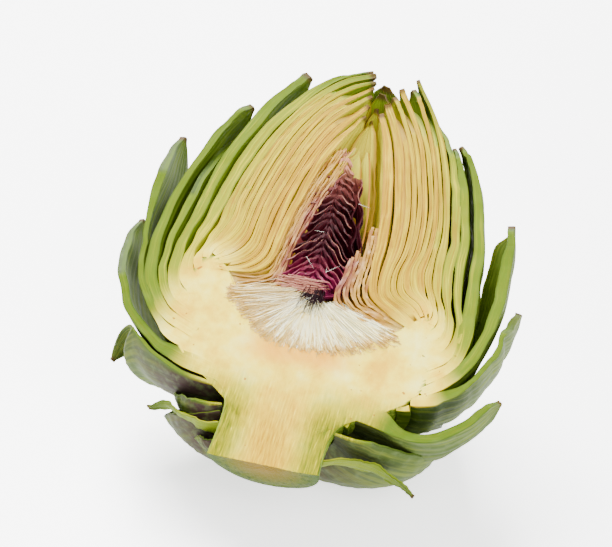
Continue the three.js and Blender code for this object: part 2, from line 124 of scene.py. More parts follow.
softbox("softbox_above", place=(-0.35, 0.55, 0.75), side=0.6, power=48)
softbox("softbox_front", place=(0.6, -0.5, 0.8), side=0.7, power=15)


# Heart and stem are one grown piece: a fleshy bowl on a ribbed stem, sliced through the middle. The cut
# flesh is cream, warmer under the choke, and the stem is green under its rind.
RIGHT_HEART = [
    (0, 0), (7, 0), (13.1, 0.1), (13.4, 0.6), (13.2, 4), (13.4, 8), (14.4, 12), (17.5, 15), (22.5, 17.8),
    (28, 21.5), (31.4, 26), (31.8, 30.5), (31.5, 35.5), (31, 40), (29.6, 43.6), (27, 44.6), (23.4, 41.2),
    (18, 36.6), (10, 32.2), (0, 30.6),
]
LEFT_HEART = [
    (0, 0), (7, 0), (13.1, 0.1), (13.4, 0.6), (13.1, 4), (12.9, 9), (13.4, 14), (16, 18), (21.5, 20.6),
    (27.4, 24.2), (31, 29.5), (31.8, 36), (31.7, 41.5), (31.2, 46), (30, 49.4), (27, 50.8), (23.4, 48.6),
    (20.4, 44.6), (15.4, 38.8), (9, 33.2), (0, 30.6),
]
BOWL_BOTTOM = 30.6
HEART_ALONG = 220
HEART_ROUND = 128


def smooth_step(value, low, high):
    """A share that rises smoothly from 0 at low to 1 at high, or falls where high is the smaller."""
    share = np.clip((value - low) / (high - low), 0, 1)
    return share * share * (3 - 2 * share)


def left_share(azimuth):
    """How much of the left side's shape holds at an azimuth, in degrees from the right cut edge."""
    return smooth_step(azimuth / 180, 0.1, 0.9)


def curve_through(points, samples=400):
    """A smooth curve through points, as a function of the share of its length, run on before its start."""
    knots = np.array(points, dtype=float)
    spans = len(knots) - 1
    position = np.linspace(0, spans, samples)
    low = np.minimum(position.astype(int), spans - 1)
    part = (position - low)[:, None]
    start, end = knots[low], knots[low + 1]
    start_slope = (end - knots[np.maximum(low - 1, 0)]) / 2
    end_slope = (knots[np.minimum(low + 2, spans)] - start) / 2
    line = ((2 * start - 2 * end + start_slope + end_slope) * part**3
            + (-3 * start + 3 * end - 2 * start_slope - end_slope) * part**2
            + start_slope * part + start)
    steps = np.linalg.norm(np.diff(line, axis=0), axis=1)
    length = np.concatenate([[0], np.cumsum(steps)])
    length /= length[-1]
    first_way = (line[4] - line[0]) / np.linalg.norm(line[4] - line[0]) * np.sum(steps)

    def at(along):
        before = np.minimum(along, 0)
        return (np.interp(along, length, line[:, 0]) + before * first_way[0],
                np.interp(along, length, line[:, 1]) + before * first_way[1])
    return at


def ripple(seed, *coordinates):
    """Smooth, repeatable unevenness between about -1 and 1, from a few waves in chance directions."""
    draw = random.Random(seed)
    total = 0
    for octave in range(5):
        wave = sum(draw.uniform(-1, 1) * (1.6**octave) * part for part in coordinates)
        total = total + np.sin(wave * 3 + draw.uniform(0, 6.28)) / (1 + 0.5 * octave)
    return total / 2.2


def layered_grid(columns, rows, layers):
    """A closed slab of unit grid cells: x and y run from 0 to 1 and z gives the layer from 0 to 1."""
    bm = bmesh.new()
    bmesh.ops.create_grid(bm, x_segments=columns, y_segments=rows, size=1.0)
    top = bm.faces[:]
    for layer in range(layers):
        grown = bmesh.ops.extrude_face_region(bm, geom=top)["geom"]
        lifted = [part for part in grown if isinstance(part, bmesh.types.BMVert)]
        bmesh.ops.translate(bm, vec=(0, 0, 1), verts=lifted)
        if layer > 0:
            bmesh.ops.delete(bm, geom=[face for face in top if face.is_valid], context="FACES")
        top = [part for part in grown if isinstance(part, bmesh.types.BMFace)]
    bmesh.ops.scale(bm, vec=(0.5, 0.5, 1 / layers), verts=bm.verts[:])
    bmesh.ops.translate(bm, vec=(0.5, 0.5, 0), verts=bm.verts[:])
    return bm


def single_sheet(columns, rows):
    """The lowest layer of such a slab alone."""
    bm = layered_grid(columns, rows, 1)
    upper = [face for face in bm.faces if face.calc_center_median().z > 1e-3]
    bmesh.ops.delete(bm, geom=upper, context="FACES")
    left_over = [vertex for vertex in bm.verts if not vertex.link_faces]
    bmesh.ops.delete(bm, geom=left_over, context="VERTS")
    return bm


def around_axis(radius, azimuth):
    """The place across the cut face and the depth behind it, from a radius and an azimuth in degrees."""
    turned = np.radians(azimuth)
    return radius * np.cos(turned), radius * np.sin(turned) * FLATTENING


def shaped(name, bm, place, fields, weld=0.0):
    """Moves a bmesh's vertices to their place and keeps what the material reads beside them.

    A field holds a value for each vertex, or one number for the whole piece.
    """
    mesh = bpy.data.meshes.new(name)
    bm.to_mesh(mesh)
    bm.free()
    mesh.vertices.foreach_set("co", place.astype(np.float32).ravel())
    for field, values in fields.items():
        if np.ndim(values) == 0:
            values = np.full(len(mesh.vertices), values)
        kind, part = ("FLOAT_VECTOR", "vector") if values.ndim == 2 else ("FLOAT", "value")
        made = mesh.attributes.new(field, kind, "POINT")
        made.data.foreach_set(part, values.astype(np.float32).ravel())
    bm = bmesh.new()
    bm.from_mesh(mesh)
    if weld:
        bmesh.ops.remove_doubles(bm, verts=bm.verts[:], dist=weld)
        bmesh.ops.dissolve_degenerate(bm, edges=bm.edges[:], dist=1e-7)
    bmesh.ops.recalc_face_normals(bm, faces=bm.faces[:])
    for face in bm.faces:
        face.smooth = True
    bm.to_mesh(mesh)
    bm.free()
    mesh.set_sharp_from_angle(angle=math.radians(50))
    return placed(name, mesh)


def grid_places(bm):
    """Where the vertices of a fresh slab lie, as an array."""
    return np.array([vertex.co[:] for vertex in bm.verts])


class Painter:
    """A material's node tree, with short calls for the few nodes that these materials use."""

    def __init__(self, name):
        self.material = bpy.data.materials.new(name)
        self.material.use_nodes = True
        self.tree = self.material.node_tree
        self.shader = self.tree.nodes["Principled BSDF"]

    def put(self, socket, value):
        """A value or another node's output into a socket."""
        if isinstance(value, bpy.types.NodeSocket):
            self.tree.links.new(value, socket)
        elif isinstance(value, tuple) and len(value) == 3 and socket.type == "RGBA":
            socket.default_value = (*value, 1)
        else:
            socket.default_value = value

    def node(self, kind, inputs, **settings):
        """A new node of a kind, with its settings and what goes into it."""
        made = self.tree.nodes.new("ShaderNode" + kind)
        for setting, value in settings.items():
            setattr(made, setting, value)
        for socket, value in inputs.items():
            self.put(made.inputs[socket], value)
        return made

    def field(self, name, output="Fac"):
        return self.node("Attribute", {}, attribute_name=name).outputs[output]

    def fields(self, *names):
        return [self.field(name) for name in names]

    def math(self, operation, a, b=0.0):
        return self.node("Math", {0: a, 1: b}, operation=operation).outputs[0]

    def plus(self, a, b):
        return self.math("ADD", a, b)

    def times(self, product, *factors):
        for factor in factors:
            product = self.math("MULTIPLY", product, factor)
        return product

    def off(self, value, zero, factor):
        """How far a value lies above a zero of its own, times a factor."""
        return self.times(self.math("SUBTRACT", value, zero), factor)

    def step(self, value, low, high, from_end=0.0, to_end=1.0):
        """The value between two limits, smoothed, as a share between two ends."""
        limits = {"From Min": low, "From Max": high, "To Min": from_end, "To Max": to_end}
        made = self.node("MapRange", {"Value": value, **limits}, interpolation_type="SMOOTHSTEP")
        return made.outputs["Result"]

    def combine(self, x, y, z=0.0):
        return self.node("CombineXYZ", {0: x, 1: y, 2: z}).outputs[0]

    def split(self, vector):
        return self.node("SeparateXYZ", {0: vector}).outputs

    def noise(self, vector, scale, detail):
        inputs = {"Vector": vector, "Scale": scale, "Detail": detail, "Roughness": 0.55}
        return self.node("TexNoise", inputs).outputs["Fac"]

    def grain(self, detail, *fields):
        """Noise over two or three fields, each taken with its own frequency."""
        return self.noise(self.combine(*[self.times(*field) for field in fields]), 1.0, detail)

    def ramp(self, value, stops):
        made = self.node("ValToRGB", {"Fac": value})
        band = made.color_ramp
        while len(band.elements) < len(stops):
            band.elements.new(0.5)
        for element, (position, colour) in zip(band.elements, stops):
            element.position = position
            element.color = (*colour, 1)
        return made.outputs["Color"]

    def mix(self, share, a, b):
        return self.node("Mix", {0: share, 6: a, 7: b}, data_type="RGBA").outputs[2]

    def over(self, base, colour, *shares):
        """A colour laid over a base, as strongly as the product of the shares."""
        return self.mix(self.times(*shares), base, colour)

    def deepen(self, colour, amount):
        """A darker, more saturated version of a colour."""
        return self.node("Gamma", {"Color": colour, "Gamma": amount}).outputs[0]

    def bump(self, height, strength, distance):
        made = self.node("Bump", {"Height": height, "Strength": strength, "Distance": distance})
        self.put(self.shader.inputs["Normal"], made.outputs[0])

    def finish(self, colour, roughness, subsurface=0.0, specular=0.2):
        self.put(self.shader.inputs["Base Color"], colour)
        self.put(self.shader.inputs["Roughness"], roughness)
        self.shader.inputs["Specular IOR Level"].default_value = specular
        self.shader.inputs["Subsurface Weight"].default_value = subsurface
        self.shader.inputs["Subsurface Scale"].default_value = 0.002
        self.shader.inputs["Subsurface Radius"].default_value = (1.0, 0.8, 0.35)
        return self.material


bm = single_sheet(HEART_ROUND, HEART_ALONG)
around, along, _ = grid_places(bm).T
azimuth = np.clip(around * 2, 0, 1) * 180
chord = np.clip(around * 2 - 1, 0, 1)
right = curve_through(RIGHT_HEART)(along)
left = curve_through(LEFT_HEART)(along)
share = left_share(azimuth)
radius = right[0] * (1 - share) + left[0] * share
height = right[1] * (1 - share) + left[1] * share
on_cut = around > 0.5
ribs = 0.16 * ripple(3, azimuth / 14, height / 60) * smooth_step(height, 16, 8) * (radius > 9)
x, depth = around_axis(radius + ribs, azimuth)
middle_height = BOWL_BOTTOM * smooth_step(along, 0.0, 1.05) ** 1.5
from_axis = 2 * chord - 1
end_radius = np.where(from_axis > 0, right[0], left[0])
end_height = np.where(from_axis > 0, right[1], left[1])
reach = np.abs(from_axis)
cut_x = np.sign(from_axis) * end_radius * reach
cut_height = middle_height + (end_height - middle_height) * reach
relief = 0.1 * ripple(5, cut_x / 2.2, cut_height / 5) + 0.05 * ripple(6, cut_x * 1.4, cut_height / 3)
inwards = smooth_step(reach, 1.0, 0.94) * smooth_step(along, 0.0, 0.03) * smooth_step(along, 1.0, 0.98)
x = np.where(on_cut, cut_x, x)
height = np.where(on_cut, cut_height, height)
depth = np.where(on_cut, -relief * inwards, depth)
end_grain = 0.12 * ripple(9, x * 1.3, depth * 1.3) * (height < 0.05)
height = height + end_grain
heart = shaped("heart_with_stem_flesh", bm, row_place(x, height, depth), {
    "place": np.stack([x, height, depth], axis=-1),
    "cut": on_cut.astype(float),
}, weld=1e-6)


def cut_flesh(p, place):
    """Sliced flesh, cream above, with warm pith and a green rind in the stem; also its fibres and clouds."""
    x, height, depth = p.split(place)
    from_middle = p.math("ABSOLUTE", x)
    fibre = p.grain(6, (x, 2.2), (height, 0.22), (depth, 1))
    cloud = p.noise(place, 0.12, 4)
    flesh = p.ramp(cloud, [(0.32, (0.88, 0.66, 0.1)), (0.5, (0.97, 0.84, 0.22)), (0.68, (0.99, 0.94, 0.46))])
    warm = p.ramp(fibre, [(0.35, (0.6, 0.4, 0.01)), (0.6, (0.8, 0.62, 0.05))])
    flesh = p.over(flesh, warm, p.step(height, 30, 6), p.step(from_middle, 10, 2), 0.85)
    green = p.ramp(fibre, [(0.3, (0.25, 0.31, 0.004)), (0.5, (0.46, 0.45, 0.006)), (0.72, (0.66, 0.6, 0.02))])
    flesh = p.over(flesh, green, p.step(from_middle, 3, 11.5), p.step(height, 26, 11))
    flesh = p.over(flesh, (0.96, 0.88, 0.42), p.step(fibre, 0.6, 0.75), 0.45)
    under_choke = p.times(p.step(height, 24, 29), p.step(from_middle, 17, 6), p.step(height, 36, 31))
    flesh = p.over(flesh, (0.9, 0.55, 0.12), under_choke, 0.7)
    spots = p.step(p.noise(place, 0.42, 2), 0.7, 0.74)
    return p.deepen(p.over(flesh, (0.5, 0.2, 0.02), spots, 0.6), 1.9), fibre, cloud


def heart_flesh():
    """Cream cut flesh with fibres up the stem, a green stem edge and a ribbed green rind outside."""
    p = Painter("artichoke_heart")
    place, cut = p.field("place", "Vector"), p.field("cut")
    x, height, depth = p.split(place)
    flesh, fibre, cloud = cut_flesh(p, place)
    rind_line = p.grain(4, (x, 1.6), (height, 0.15), (depth, 1.6))
    rind = p.ramp(rind_line, [(0.3, (0.07, 0.12, 0.01)), (0.5, (0.16, 0.24, 0.02)), (0.7, (0.33, 0.4, 0.05))])
    end_ring = p.math("POWER", p.plus(p.times(x, x), p.times(depth, depth)), 0.5)
    end = p.times(p.step(height, 0.5, 0.2), p.step(cut, 0.5, 0.4))
    flecks = p.step(p.noise(p.combine(x, depth), 0.9, 3), 0.5, 0.62)
    disc = p.ramp(p.math("DIVIDE", end_ring, 14), [
        (0.2, (0.14, 0.085, 0.002)), (0.5, (0.1, 0.085, 0.002)), (0.75, (0.06, 0.082, 0.002)),
        (0.92, (0.03, 0.058, 0.002)),
    ])
    disc = p.over(disc, (0.014, 0.03, 0.002), flecks, p.step(end_ring, 6, 11, 0.1, 0.7))
    colour = p.mix(cut, p.mix(end, rind, disc), flesh)
    p.bump(p.plus(p.times(fibre, 0.6), p.times(cloud, 0.4)), 0.35, 0.0006)
    return p.finish(colour, p.step(fibre, 0.2, 0.8, 0.4, 0.55), subsurface=0.1, specular=0.08)


heart.data.materials.append(heart_flesh())
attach(heart, "root")
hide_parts("heart_with_stem")


# The bracts are tough cupped leaves that grow from the heart's flank in rising turns. The knife took
# those beside the cut face lengthways, so each shows there as a band of pale flesh between two skins.
RIGHT_LINES = [
    [(22, 42), (15, 45), (11, 49), (9.5, 56), (8.5, 64), (7.5, 73), (5.5, 82), (2.5, 90), (0.8, 96)],
    [(25, 40.5), (18, 44.2), (13.4, 48), (12.2, 54), (12, 61), (11, 70), (8.5, 80), (5.8, 90), (2.2, 98)],
    [(26.5, 41.5), (21, 45.4), (16, 48.5), (14.8, 54), (15.3, 61), (14.7, 70), (12.2, 80), (8.8, 90.5),
     (3.2, 101)],
    [(27.5, 42.6), (23.5, 46.4), (18.7, 49.3), (17.4, 54.5), (18.3, 61), (17.8, 70), (15.1, 81),
     (11.2, 92), (4.2, 103.6)],
    [(28, 43.8), (25.5, 48), (21.4, 51), (20, 56), (21, 62), (20.3, 71), (17.4, 82), (13.2, 93),
     (5.2, 105.6)],
    [(28.5, 44), (28, 48), (24.8, 51.8), (23.2, 57), (23.8, 63), (22.7, 73), (19.6, 84), (15.2, 95),
     (8.4, 107.5)],
    [(29, 38.5), (31.4, 42.6), (30.6, 47.4), (27.8, 52.6), (26.5, 59), (26.2, 67), (23.8, 77),
     (20.4, 88), (15.4, 99), (8.5, 109)],
    [(29.5, 35.5), (33.4, 39), (33.6, 45), (31, 51), (29.5, 58), (29, 66), (26.6, 77), (23.2, 87),
     (19.2, 95.5), (15.5, 101.5)],
    [(30.5, 32.5), (35.2, 36.4), (35.9, 43), (33.7, 50), (32, 58), (31.2, 67), (28.8, 76), (25.8, 85),
     (22.2, 93.5)],
    [(31.5, 28.5), (36, 32.6), (38.3, 39), (37.6, 48), (36.3, 57), (35.2, 66), (32.9, 75),
     (30.2, 82.5), (27, 89), (23.8, 93)],
    [(31.5, 25.5), (37, 29.6), (41.4, 36.5), (43.3, 45), (43.8, 54), (43.2, 62), (42.2, 68.5),
     (41, 73.5)],
    [(30, 22), (36.5, 24.6), (42, 29.4), (45.5, 36.6), (46.9, 44.5), (47.8, 50.5), (48.2, 54.5)],
    [(18, 16.6), (25, 15.6), (32, 14.4), (38, 15.6), (43, 19), (46.6, 23.6), (49.3, 28.6)],
]
LEFT_LINES = [
    [(22, 48), (15.5, 49), (12, 53), (10.8, 59), (10, 66), (8.6, 74), (6.6, 82), (4, 89), (1.2, 95)],
    [(24, 47.6), (18, 48.8), (14.2, 52), (13, 58), (12.4, 65), (11.2, 73), (9, 82), (5.8, 89.5), (1.6, 96.5)],
    [(26, 47.8), (20, 49.6), (16.2, 53.2), (15.3, 59), (14.8, 66), (13.4, 74), (11, 83), (7.2, 91.5),
     (1.6, 99.5)],
    [(27, 48.8), (21.6, 51), (18.4, 55), (17.7, 61), (17.4, 67), (15.8, 75), (13.2, 85), (9.2, 94),
     (1.6, 102.5)],
    [(27.8, 49.8), (23.6, 52.8), (20.8, 57), (20.4, 63), (19.9, 69), (18, 78), (15, 88), (10.4, 96.6),
     (1.6, 104.8)],
    [(28.6, 49.6), (28, 53.6), (25, 57), (23.4, 61.5), (23.1, 68), (21.2, 78), (17.8, 89),
     (12.4, 98.5), (7, 103.6), (1.6, 106.6)],
    [(29.4, 46.6), (31, 50.6), (29.2, 56), (27.2, 61.5), (26.6, 69), (24.2, 79), (20.4, 90),
     (14.6, 99.6), (8.4, 105.4), (2, 108.4)],
    [(29, 40.5), (33, 44.6), (33.8, 50), (32, 56), (30.3, 62.6), (29.2, 71.5), (26.4, 82),
     (22.2, 92), (16.6, 101), (10.6, 106.8), (3.4, 109.8)],
    [(28, 36), (33.8, 39.4), (36.6, 45.6), (36.6, 52.5), (34.9, 60.5), (33.8, 69.5), (31.8, 79.5),
     (28.4, 89.5), (24.2, 98.5), (19, 106)],
    [(27, 33), (34.4, 36.6), (38.6, 43.4), (39.4, 50.8), (38.2, 60), (37.2, 70), (35.1, 80),
     (32.2, 89.5), (28.2, 96.5)],
    [(25.5, 30), (34, 33.4), (39.9, 40), (42, 48), (42.2, 58), (41.3, 67.5), (39.2, 76.5),
     (36.2, 86.5), (31.4, 95.5)],
    [(27, 26.6), (34.6, 30), (41, 36.6), (44.6, 44.5), (46.2, 54), (46.7, 63), (47.1, 73), (48.2, 86)],
    [(17, 20.2), (27, 22.2), (36, 26.4), (43.6, 33), (48.3, 41.8), (50.6, 50.5), (52.6, 58),
     (53.8, 63.2)],
]
# name, line, azimuth of the midrib in degrees, half width, thickness, how far the margins curl in;
# lengths are in millimetres, and line 0 is the innermost, 12 the outermost
BRACTS = [
    ("cavity_bract_middle", 0.2, 90, 12, 0.9, 0),
    ("cut_bract_right_1", 1, 22, 12, 1.0, 0),
    ("cut_bract_left_1", 1, 158, 12, 1.0, 0),
    ("cut_bract_right_2", 2, 8, 14, 1.4, 0),
    ("cut_bract_left_2", 2, 172, 14, 1.4, 0),
    ("back_bract_inner_1", 2, 90, 7.5, 1.2, 0),
    ("margin_bract_right_1", 2.5, 40, 13, 0.7, 0),
    ("margin_bract_left_1", 2.5, 140, 12, 0.7, 0),
    ("cut_bract_right_3", 3, 24, 15, 1.1, 0),
    ("cut_bract_left_3", 3, 156, 15, 1.1, 0),
    ("margin_bract_right_2", 3.5, 40, 15, 0.7, 0),
    ("margin_bract_left_2", 3.5, 140, 15, 0.7, 0),
    ("cut_bract_right_4", 4, 6, 16, 1.1, 0),
    ("cut_bract_left_4", 4, 174, 16, 1.1, 0),
    ("back_bract_inner_2", 4, 90, 11.5, 1.1, 0),
    ("margin_bract_right_3", 4.5, 42, 17, 0.7, 0),
    ("margin_bract_left_3", 4.5, 138, 17, 0.7, 0),
    ("cut_bract_right_5", 5, 22, 16, 1.1, 0),
    ("cut_bract_left_5", 5, 158, 16, 1.2, 0),
    ("margin_bract_right_4", 5.5, 44, 19, 0.7, 0),
    ("margin_bract_left_4", 5.5, 138, 18, 0.7, 0),
    ("cut_bract_right_6", 6, 6, 18, 1.5, 0),
    ("cut_bract_left_6", 6, 173, 18, 1.6, 0),
    ("back_bract_middle_1", 6, 90, 16, 1.3, 0),
    ("cut_bract_right_7", 7, 26, 17, 1.3, 0),
    ("cut_bract_left_7", 7, 154, 17, 1.9, 0),
    ("back_bract_middle_2", 7, 90, 12, 1.4, 0),
    ("cut_bract_right_8", 8, 12, 18, 1.1, 0),
    ("cut_bract_left_8", 8, 175, 19, 2.6, 0),
    ("back_bract_middle_3", 8, 92, 20, 1.4, 0),
    ("cut_bract_right_9", 9, 5, 18, 3.0, 0.5),
    ("cut_bract_left_9", 9, 156, 17, 1.1, 0),
    ("back_bract_middle_4", 9, 82, 22, 1.6, 0),
    ("back_bract_side_1", 9.5, 46, 15, 1.2, 0.5),
    ("cut_bract_right_10", 10, 3, 12, 2.6, 4),
    ("cut_bract_left_10", 10, 174, 19, 3.2, 1),
    ("back_bract_outer_1", 10, 61, 18, 1.5, 1),
    ("back_bract_outer_2", 10, 117, 18, 1.5, 1),
    ("back_bract_side_2", 10.5, 90, 15, 0.8, 1),
    ("cut_bract_right_11", 11, 12, 14, 2.0, 2.5),
    ("cut_bract_left_11", 11, 170, 13, 1.9, 4),
    ("back_bract_outer_3", 11, 62, 18, 1.8, 1.5),
    ("back_bract_outer_4", 11, 122, 19, 1.8, 1.5),
    ("cut_bract_right_12", 12, 5, 12, 2.3, 1.5),
    ("cut_bract_left_12", 12, 166, 14, 2.7, 4),
]
OUTERMOST = 12
LAST_CROWDED = 6
SHORT_STRETCH = (0.03, 0.95)
WIDEST_ANGLE = 48
TIP_WIDTH = 1.4
THINNEST = 0.5
THICKEST = 4.4
FOOT = 0.09
# lines of the bracts that stand beside each other, and those that only bracts of the back follow
CROWDED_LINES = [0, 0.2, 1, 2, 2.5, 3, 3.5, 4, 4.5, 5, 5.5, 6, 7, 8, 9, 9.5, 10, 10.5, 11, 12, 13]
HIDDEN_LINES = [9.5, 10.5]
NARROW_BRACT = 12
WIDEST_ROOM = 5.5
OPEN_SIDE_ROOM = 1.4
BLADE_COLUMNS = 26
BLADE_ROWS = 72
BLADE_LAYERS = 3


def family_of(right_lines, left_lines):
    """The smooth curves through the lines of both sides."""
    return [[curve_through(points) for points in lines] for lines in (right_lines, left_lines)]


def point_of(family, line, along, azimuth):
    """Radius and height on a family of lines, between two drawn lines and between both sides."""
    sides = []
    for curves in family:
        low = max(min(int(line), len(curves) - 2), 0)
        radius, height = curves[low](along)
        if len(curves) > 1:
            next_radius, next_height = curves[low + 1](along)
            radius = radius + (next_radius - radius) * (line - low)
            height = height + (next_height - height) * (line - low)
        sides.append((radius, height))
    share = left_share(azimuth)
    return [a * (1 - share) + b * share for a, b in zip(*sides)]


def width_share(along):
    """A bract's half width along its length: widest at two fifths, pointed at the tip."""
    rise = 0.7 + 0.3 * np.sin(np.clip(along / 0.4, 0, 1) * math.pi / 2)
    fall = np.clip(1 - np.clip((along - 0.4) / 0.6, 0, 1) ** 2.1, 0, 1) ** 0.8
    return np.where(along < 0.4, rise, fall)


def thickness_share(along, across):
    """Slim at the foot, thick over the lower midrib, thin at margins and tip."""
    lengthways = np.interp(along, [0, 0.3, 1], [0.45, 1, 0.4])
    return lengthways * (1 - 0.6 * across**2)


def grow_bract(name, family, line, azimuth, half_width, thickness, curl, seed, slim=0, belly=0):
    """One cupped bract, stopped at the cut face, with the unevenness of a grown leaf.

    Slim narrows its upper half by a share, and belly swells its middle outwards.
    """
    drawn = len(family[0]) > 1
    crowded = drawn and 1 < line <= LAST_CROWDED
    short = crowded and line % 1
    start, end = SHORT_STRETCH if short else (-FOOT if drawn else 0, 1)
    bm = layered_grid(BLADE_COLUMNS, BLADE_ROWS, BLADE_LAYERS)
    column, along, layer = grid_places(bm).T
    way = start + (end - start) * along
    middle_radius, _ = point_of(family, line, way, np.full_like(way, azimuth))
    wide_foot = 1 + 0.8 * smooth_step(way, 0.36, 0.06) * drawn
    wide_foot = wide_foot * (1 - slim * smooth_step(along, 0.5, 0.72))
    reach = np.maximum(half_width * width_share(along) * wide_foot, TIP_WIDTH / 2)
    half_angle = np.minimum(np.degrees(reach / np.maximum(middle_radius, 4)), WIDEST_ANGLE)
    first = np.maximum(-azimuth / half_angle, -1)
    last = np.minimum((180 - azimuth) / half_angle, 1)
    across = first + (last - first) * column
    here = np.clip(azimuth + across * half_angle, 0, 180)
    radius, height = point_of(family, line, way, here)

    # which way is outwards, square to the line
    ahead = point_of(family, line, np.minimum(way + 0.01, 1), here)
    behind = point_of(family, line, np.maximum(way - 0.01, 0), here)
    run = np.stack([ahead[0] - behind[0], ahead[1] - behind[1]])
    run /= np.linalg.norm(run, axis=0)
    out_radius, out_height = run[1], -run[0]

    # curled margins, lumps and fluttering edges
    edge_at_cut = np.where(np.abs(first) < np.abs(last), first, last)
    shift = curl * smooth_step(along, 0.05, 0.5) * np.minimum(edge_at_cut**2 - across**2, 0)
    loose = 0.12 if crowded else 0.35
    lumps = loose * ripple(seed, along * 3, here / 40)
    edge = smooth_step(np.abs(across), 0.55, 1) * (not crowded)
    flutter = 0.5 * edge * ripple(seed + 1, along * 6, here / 60) * smooth_step(along, 0.1, 0.4)

    # thickness: crowded bracts fill the room between their neighbours but for a slit
    uneven = 1 + 0.22 * ripple(seed + 2, along * 6, here / 50)
    thick = np.maximum(thickness * thickness_share(along, across) * uneven, THINNEST)
    centre = 0
    if drawn:
        row = [other for other in CROWDED_LINES
               if other == line or other not in HIDDEN_LINES or half_width < NARROW_BRACT]
        rooms = []
        for step in (-1, 1):
            halfway = (row[row.index(line) + step] + line) / 2
            beside = point_of(family, max(halfway, 0), way, here)
            gap = (beside[0] - radius) * out_radius + (beside[1] - height) * out_height
            rooms.append(0.97 * np.abs(gap))
        room_in, room_out = rooms
        if line >= OUTERMOST - 1:
            room_out = np.minimum(np.minimum(*rooms), OPEN_SIDE_ROOM)
        full = np.minimum(room_in + room_out, WIDEST_ROOM)
        slit = 0.1 + 0.18 * np.clip(ripple(seed + 6, way * 5, here / 70), 0, 1) * smooth_step(way, 0.2, 0.4)
        fill = np.interp(line, [6, 7, 8, 9, 12], [0.96, 0.9, 0.72, 0.55, 0.4])
        fill = fill * smooth_step(np.abs(here - 90), 30, 75) * (1 - 0.45 * smooth_step(way, 0.75, 1))
        fill = fill * (1 + 0.12 * ripple(seed + 7, way * 4))
        if crowded:
            thick = np.maximum(full - slit, 0.3)
        else:
            thick = np.maximum(thick, np.minimum(full * fill, THICKEST))
        thick = thick + (np.maximum(full, thick) - thick) * smooth_step(way, 0.34, 0.08)
        too_thick = thick - 2 * np.minimum(room_in, room_out)
        spare = np.clip(too_thick / np.maximum(np.abs(room_out - room_in), 0.05), 0, 1)
        centre = (room_out - room_in) / 2 * spare
    if short:
        thick = thick * (0.4 + 0.6 * smooth_step(along, 1, 0.9))
    ribs = 0.09 * np.sin(across * half_width * 1.9 + ripple(seed + 3, along * 2, across)) * (1 - 0.6 * edge)
    offset = centre + (layer - 0.5) * thick + lumps + flutter + ribs * smooth_step(along, 0.02, 0.12)
    bulge = np.maximum(np.minimum(edge_at_cut**2, 1) - across**2, 0)
    offset = offset + belly * bulge * smooth_step(along, 0.0, 0.15) * smooth_step(along, 0.9, 0.45)
    radius = np.maximum(radius + shift + out_radius * offset, 0.15)
    height = height + out_height * offset
    x, depth = around_axis(radius, here)

    # the cut face is slightly hollow between the two skins, and the foot sinks into the heart
    on_cut = (here < 1e-3) | (here > 180 - 1e-3)
    dish = (0.1 + 0.1 * ripple(seed + 4, along * 14)
            + 0.16 * (1 - (2 * layer - 1) ** 2) * ripple(seed + 5, along * 22))
    dish = np.maximum(dish, 0.03) * smooth_step(way, 0.0, 0.25) - 0.06
    in_foot = 0.45 + (dish - 0.45) * smooth_step(way, -FOOT, 0.03)
    depth = np.where(on_cut, in_foot if drawn else np.maximum(dish, 0.03), depth)
    depth = np.maximum(depth, np.where(on_cut, -1, 0.02))

    # nothing sinks into the table
    level = STEM_END.z / MM + height * math.sin(HEAD_TILT) - depth * math.cos(HEAD_TILT)
    lift = np.maximum((1 - layer) * thick - level, 0)
    height = height + lift * math.sin(HEAD_TILT)
    depth = depth - lift * math.cos(HEAD_TILT)
    return shaped(name + "_leaf", bm, row_place(x, height, depth), {
        "along": way,
        "across": across,
        "skin": layer,
        "cut": on_cut.astype(float),
        "ring": line / OUTERMOST,
        "tint": random.Random(seed).random(),
        "place": np.stack([x, height, depth], axis=-1),
    })


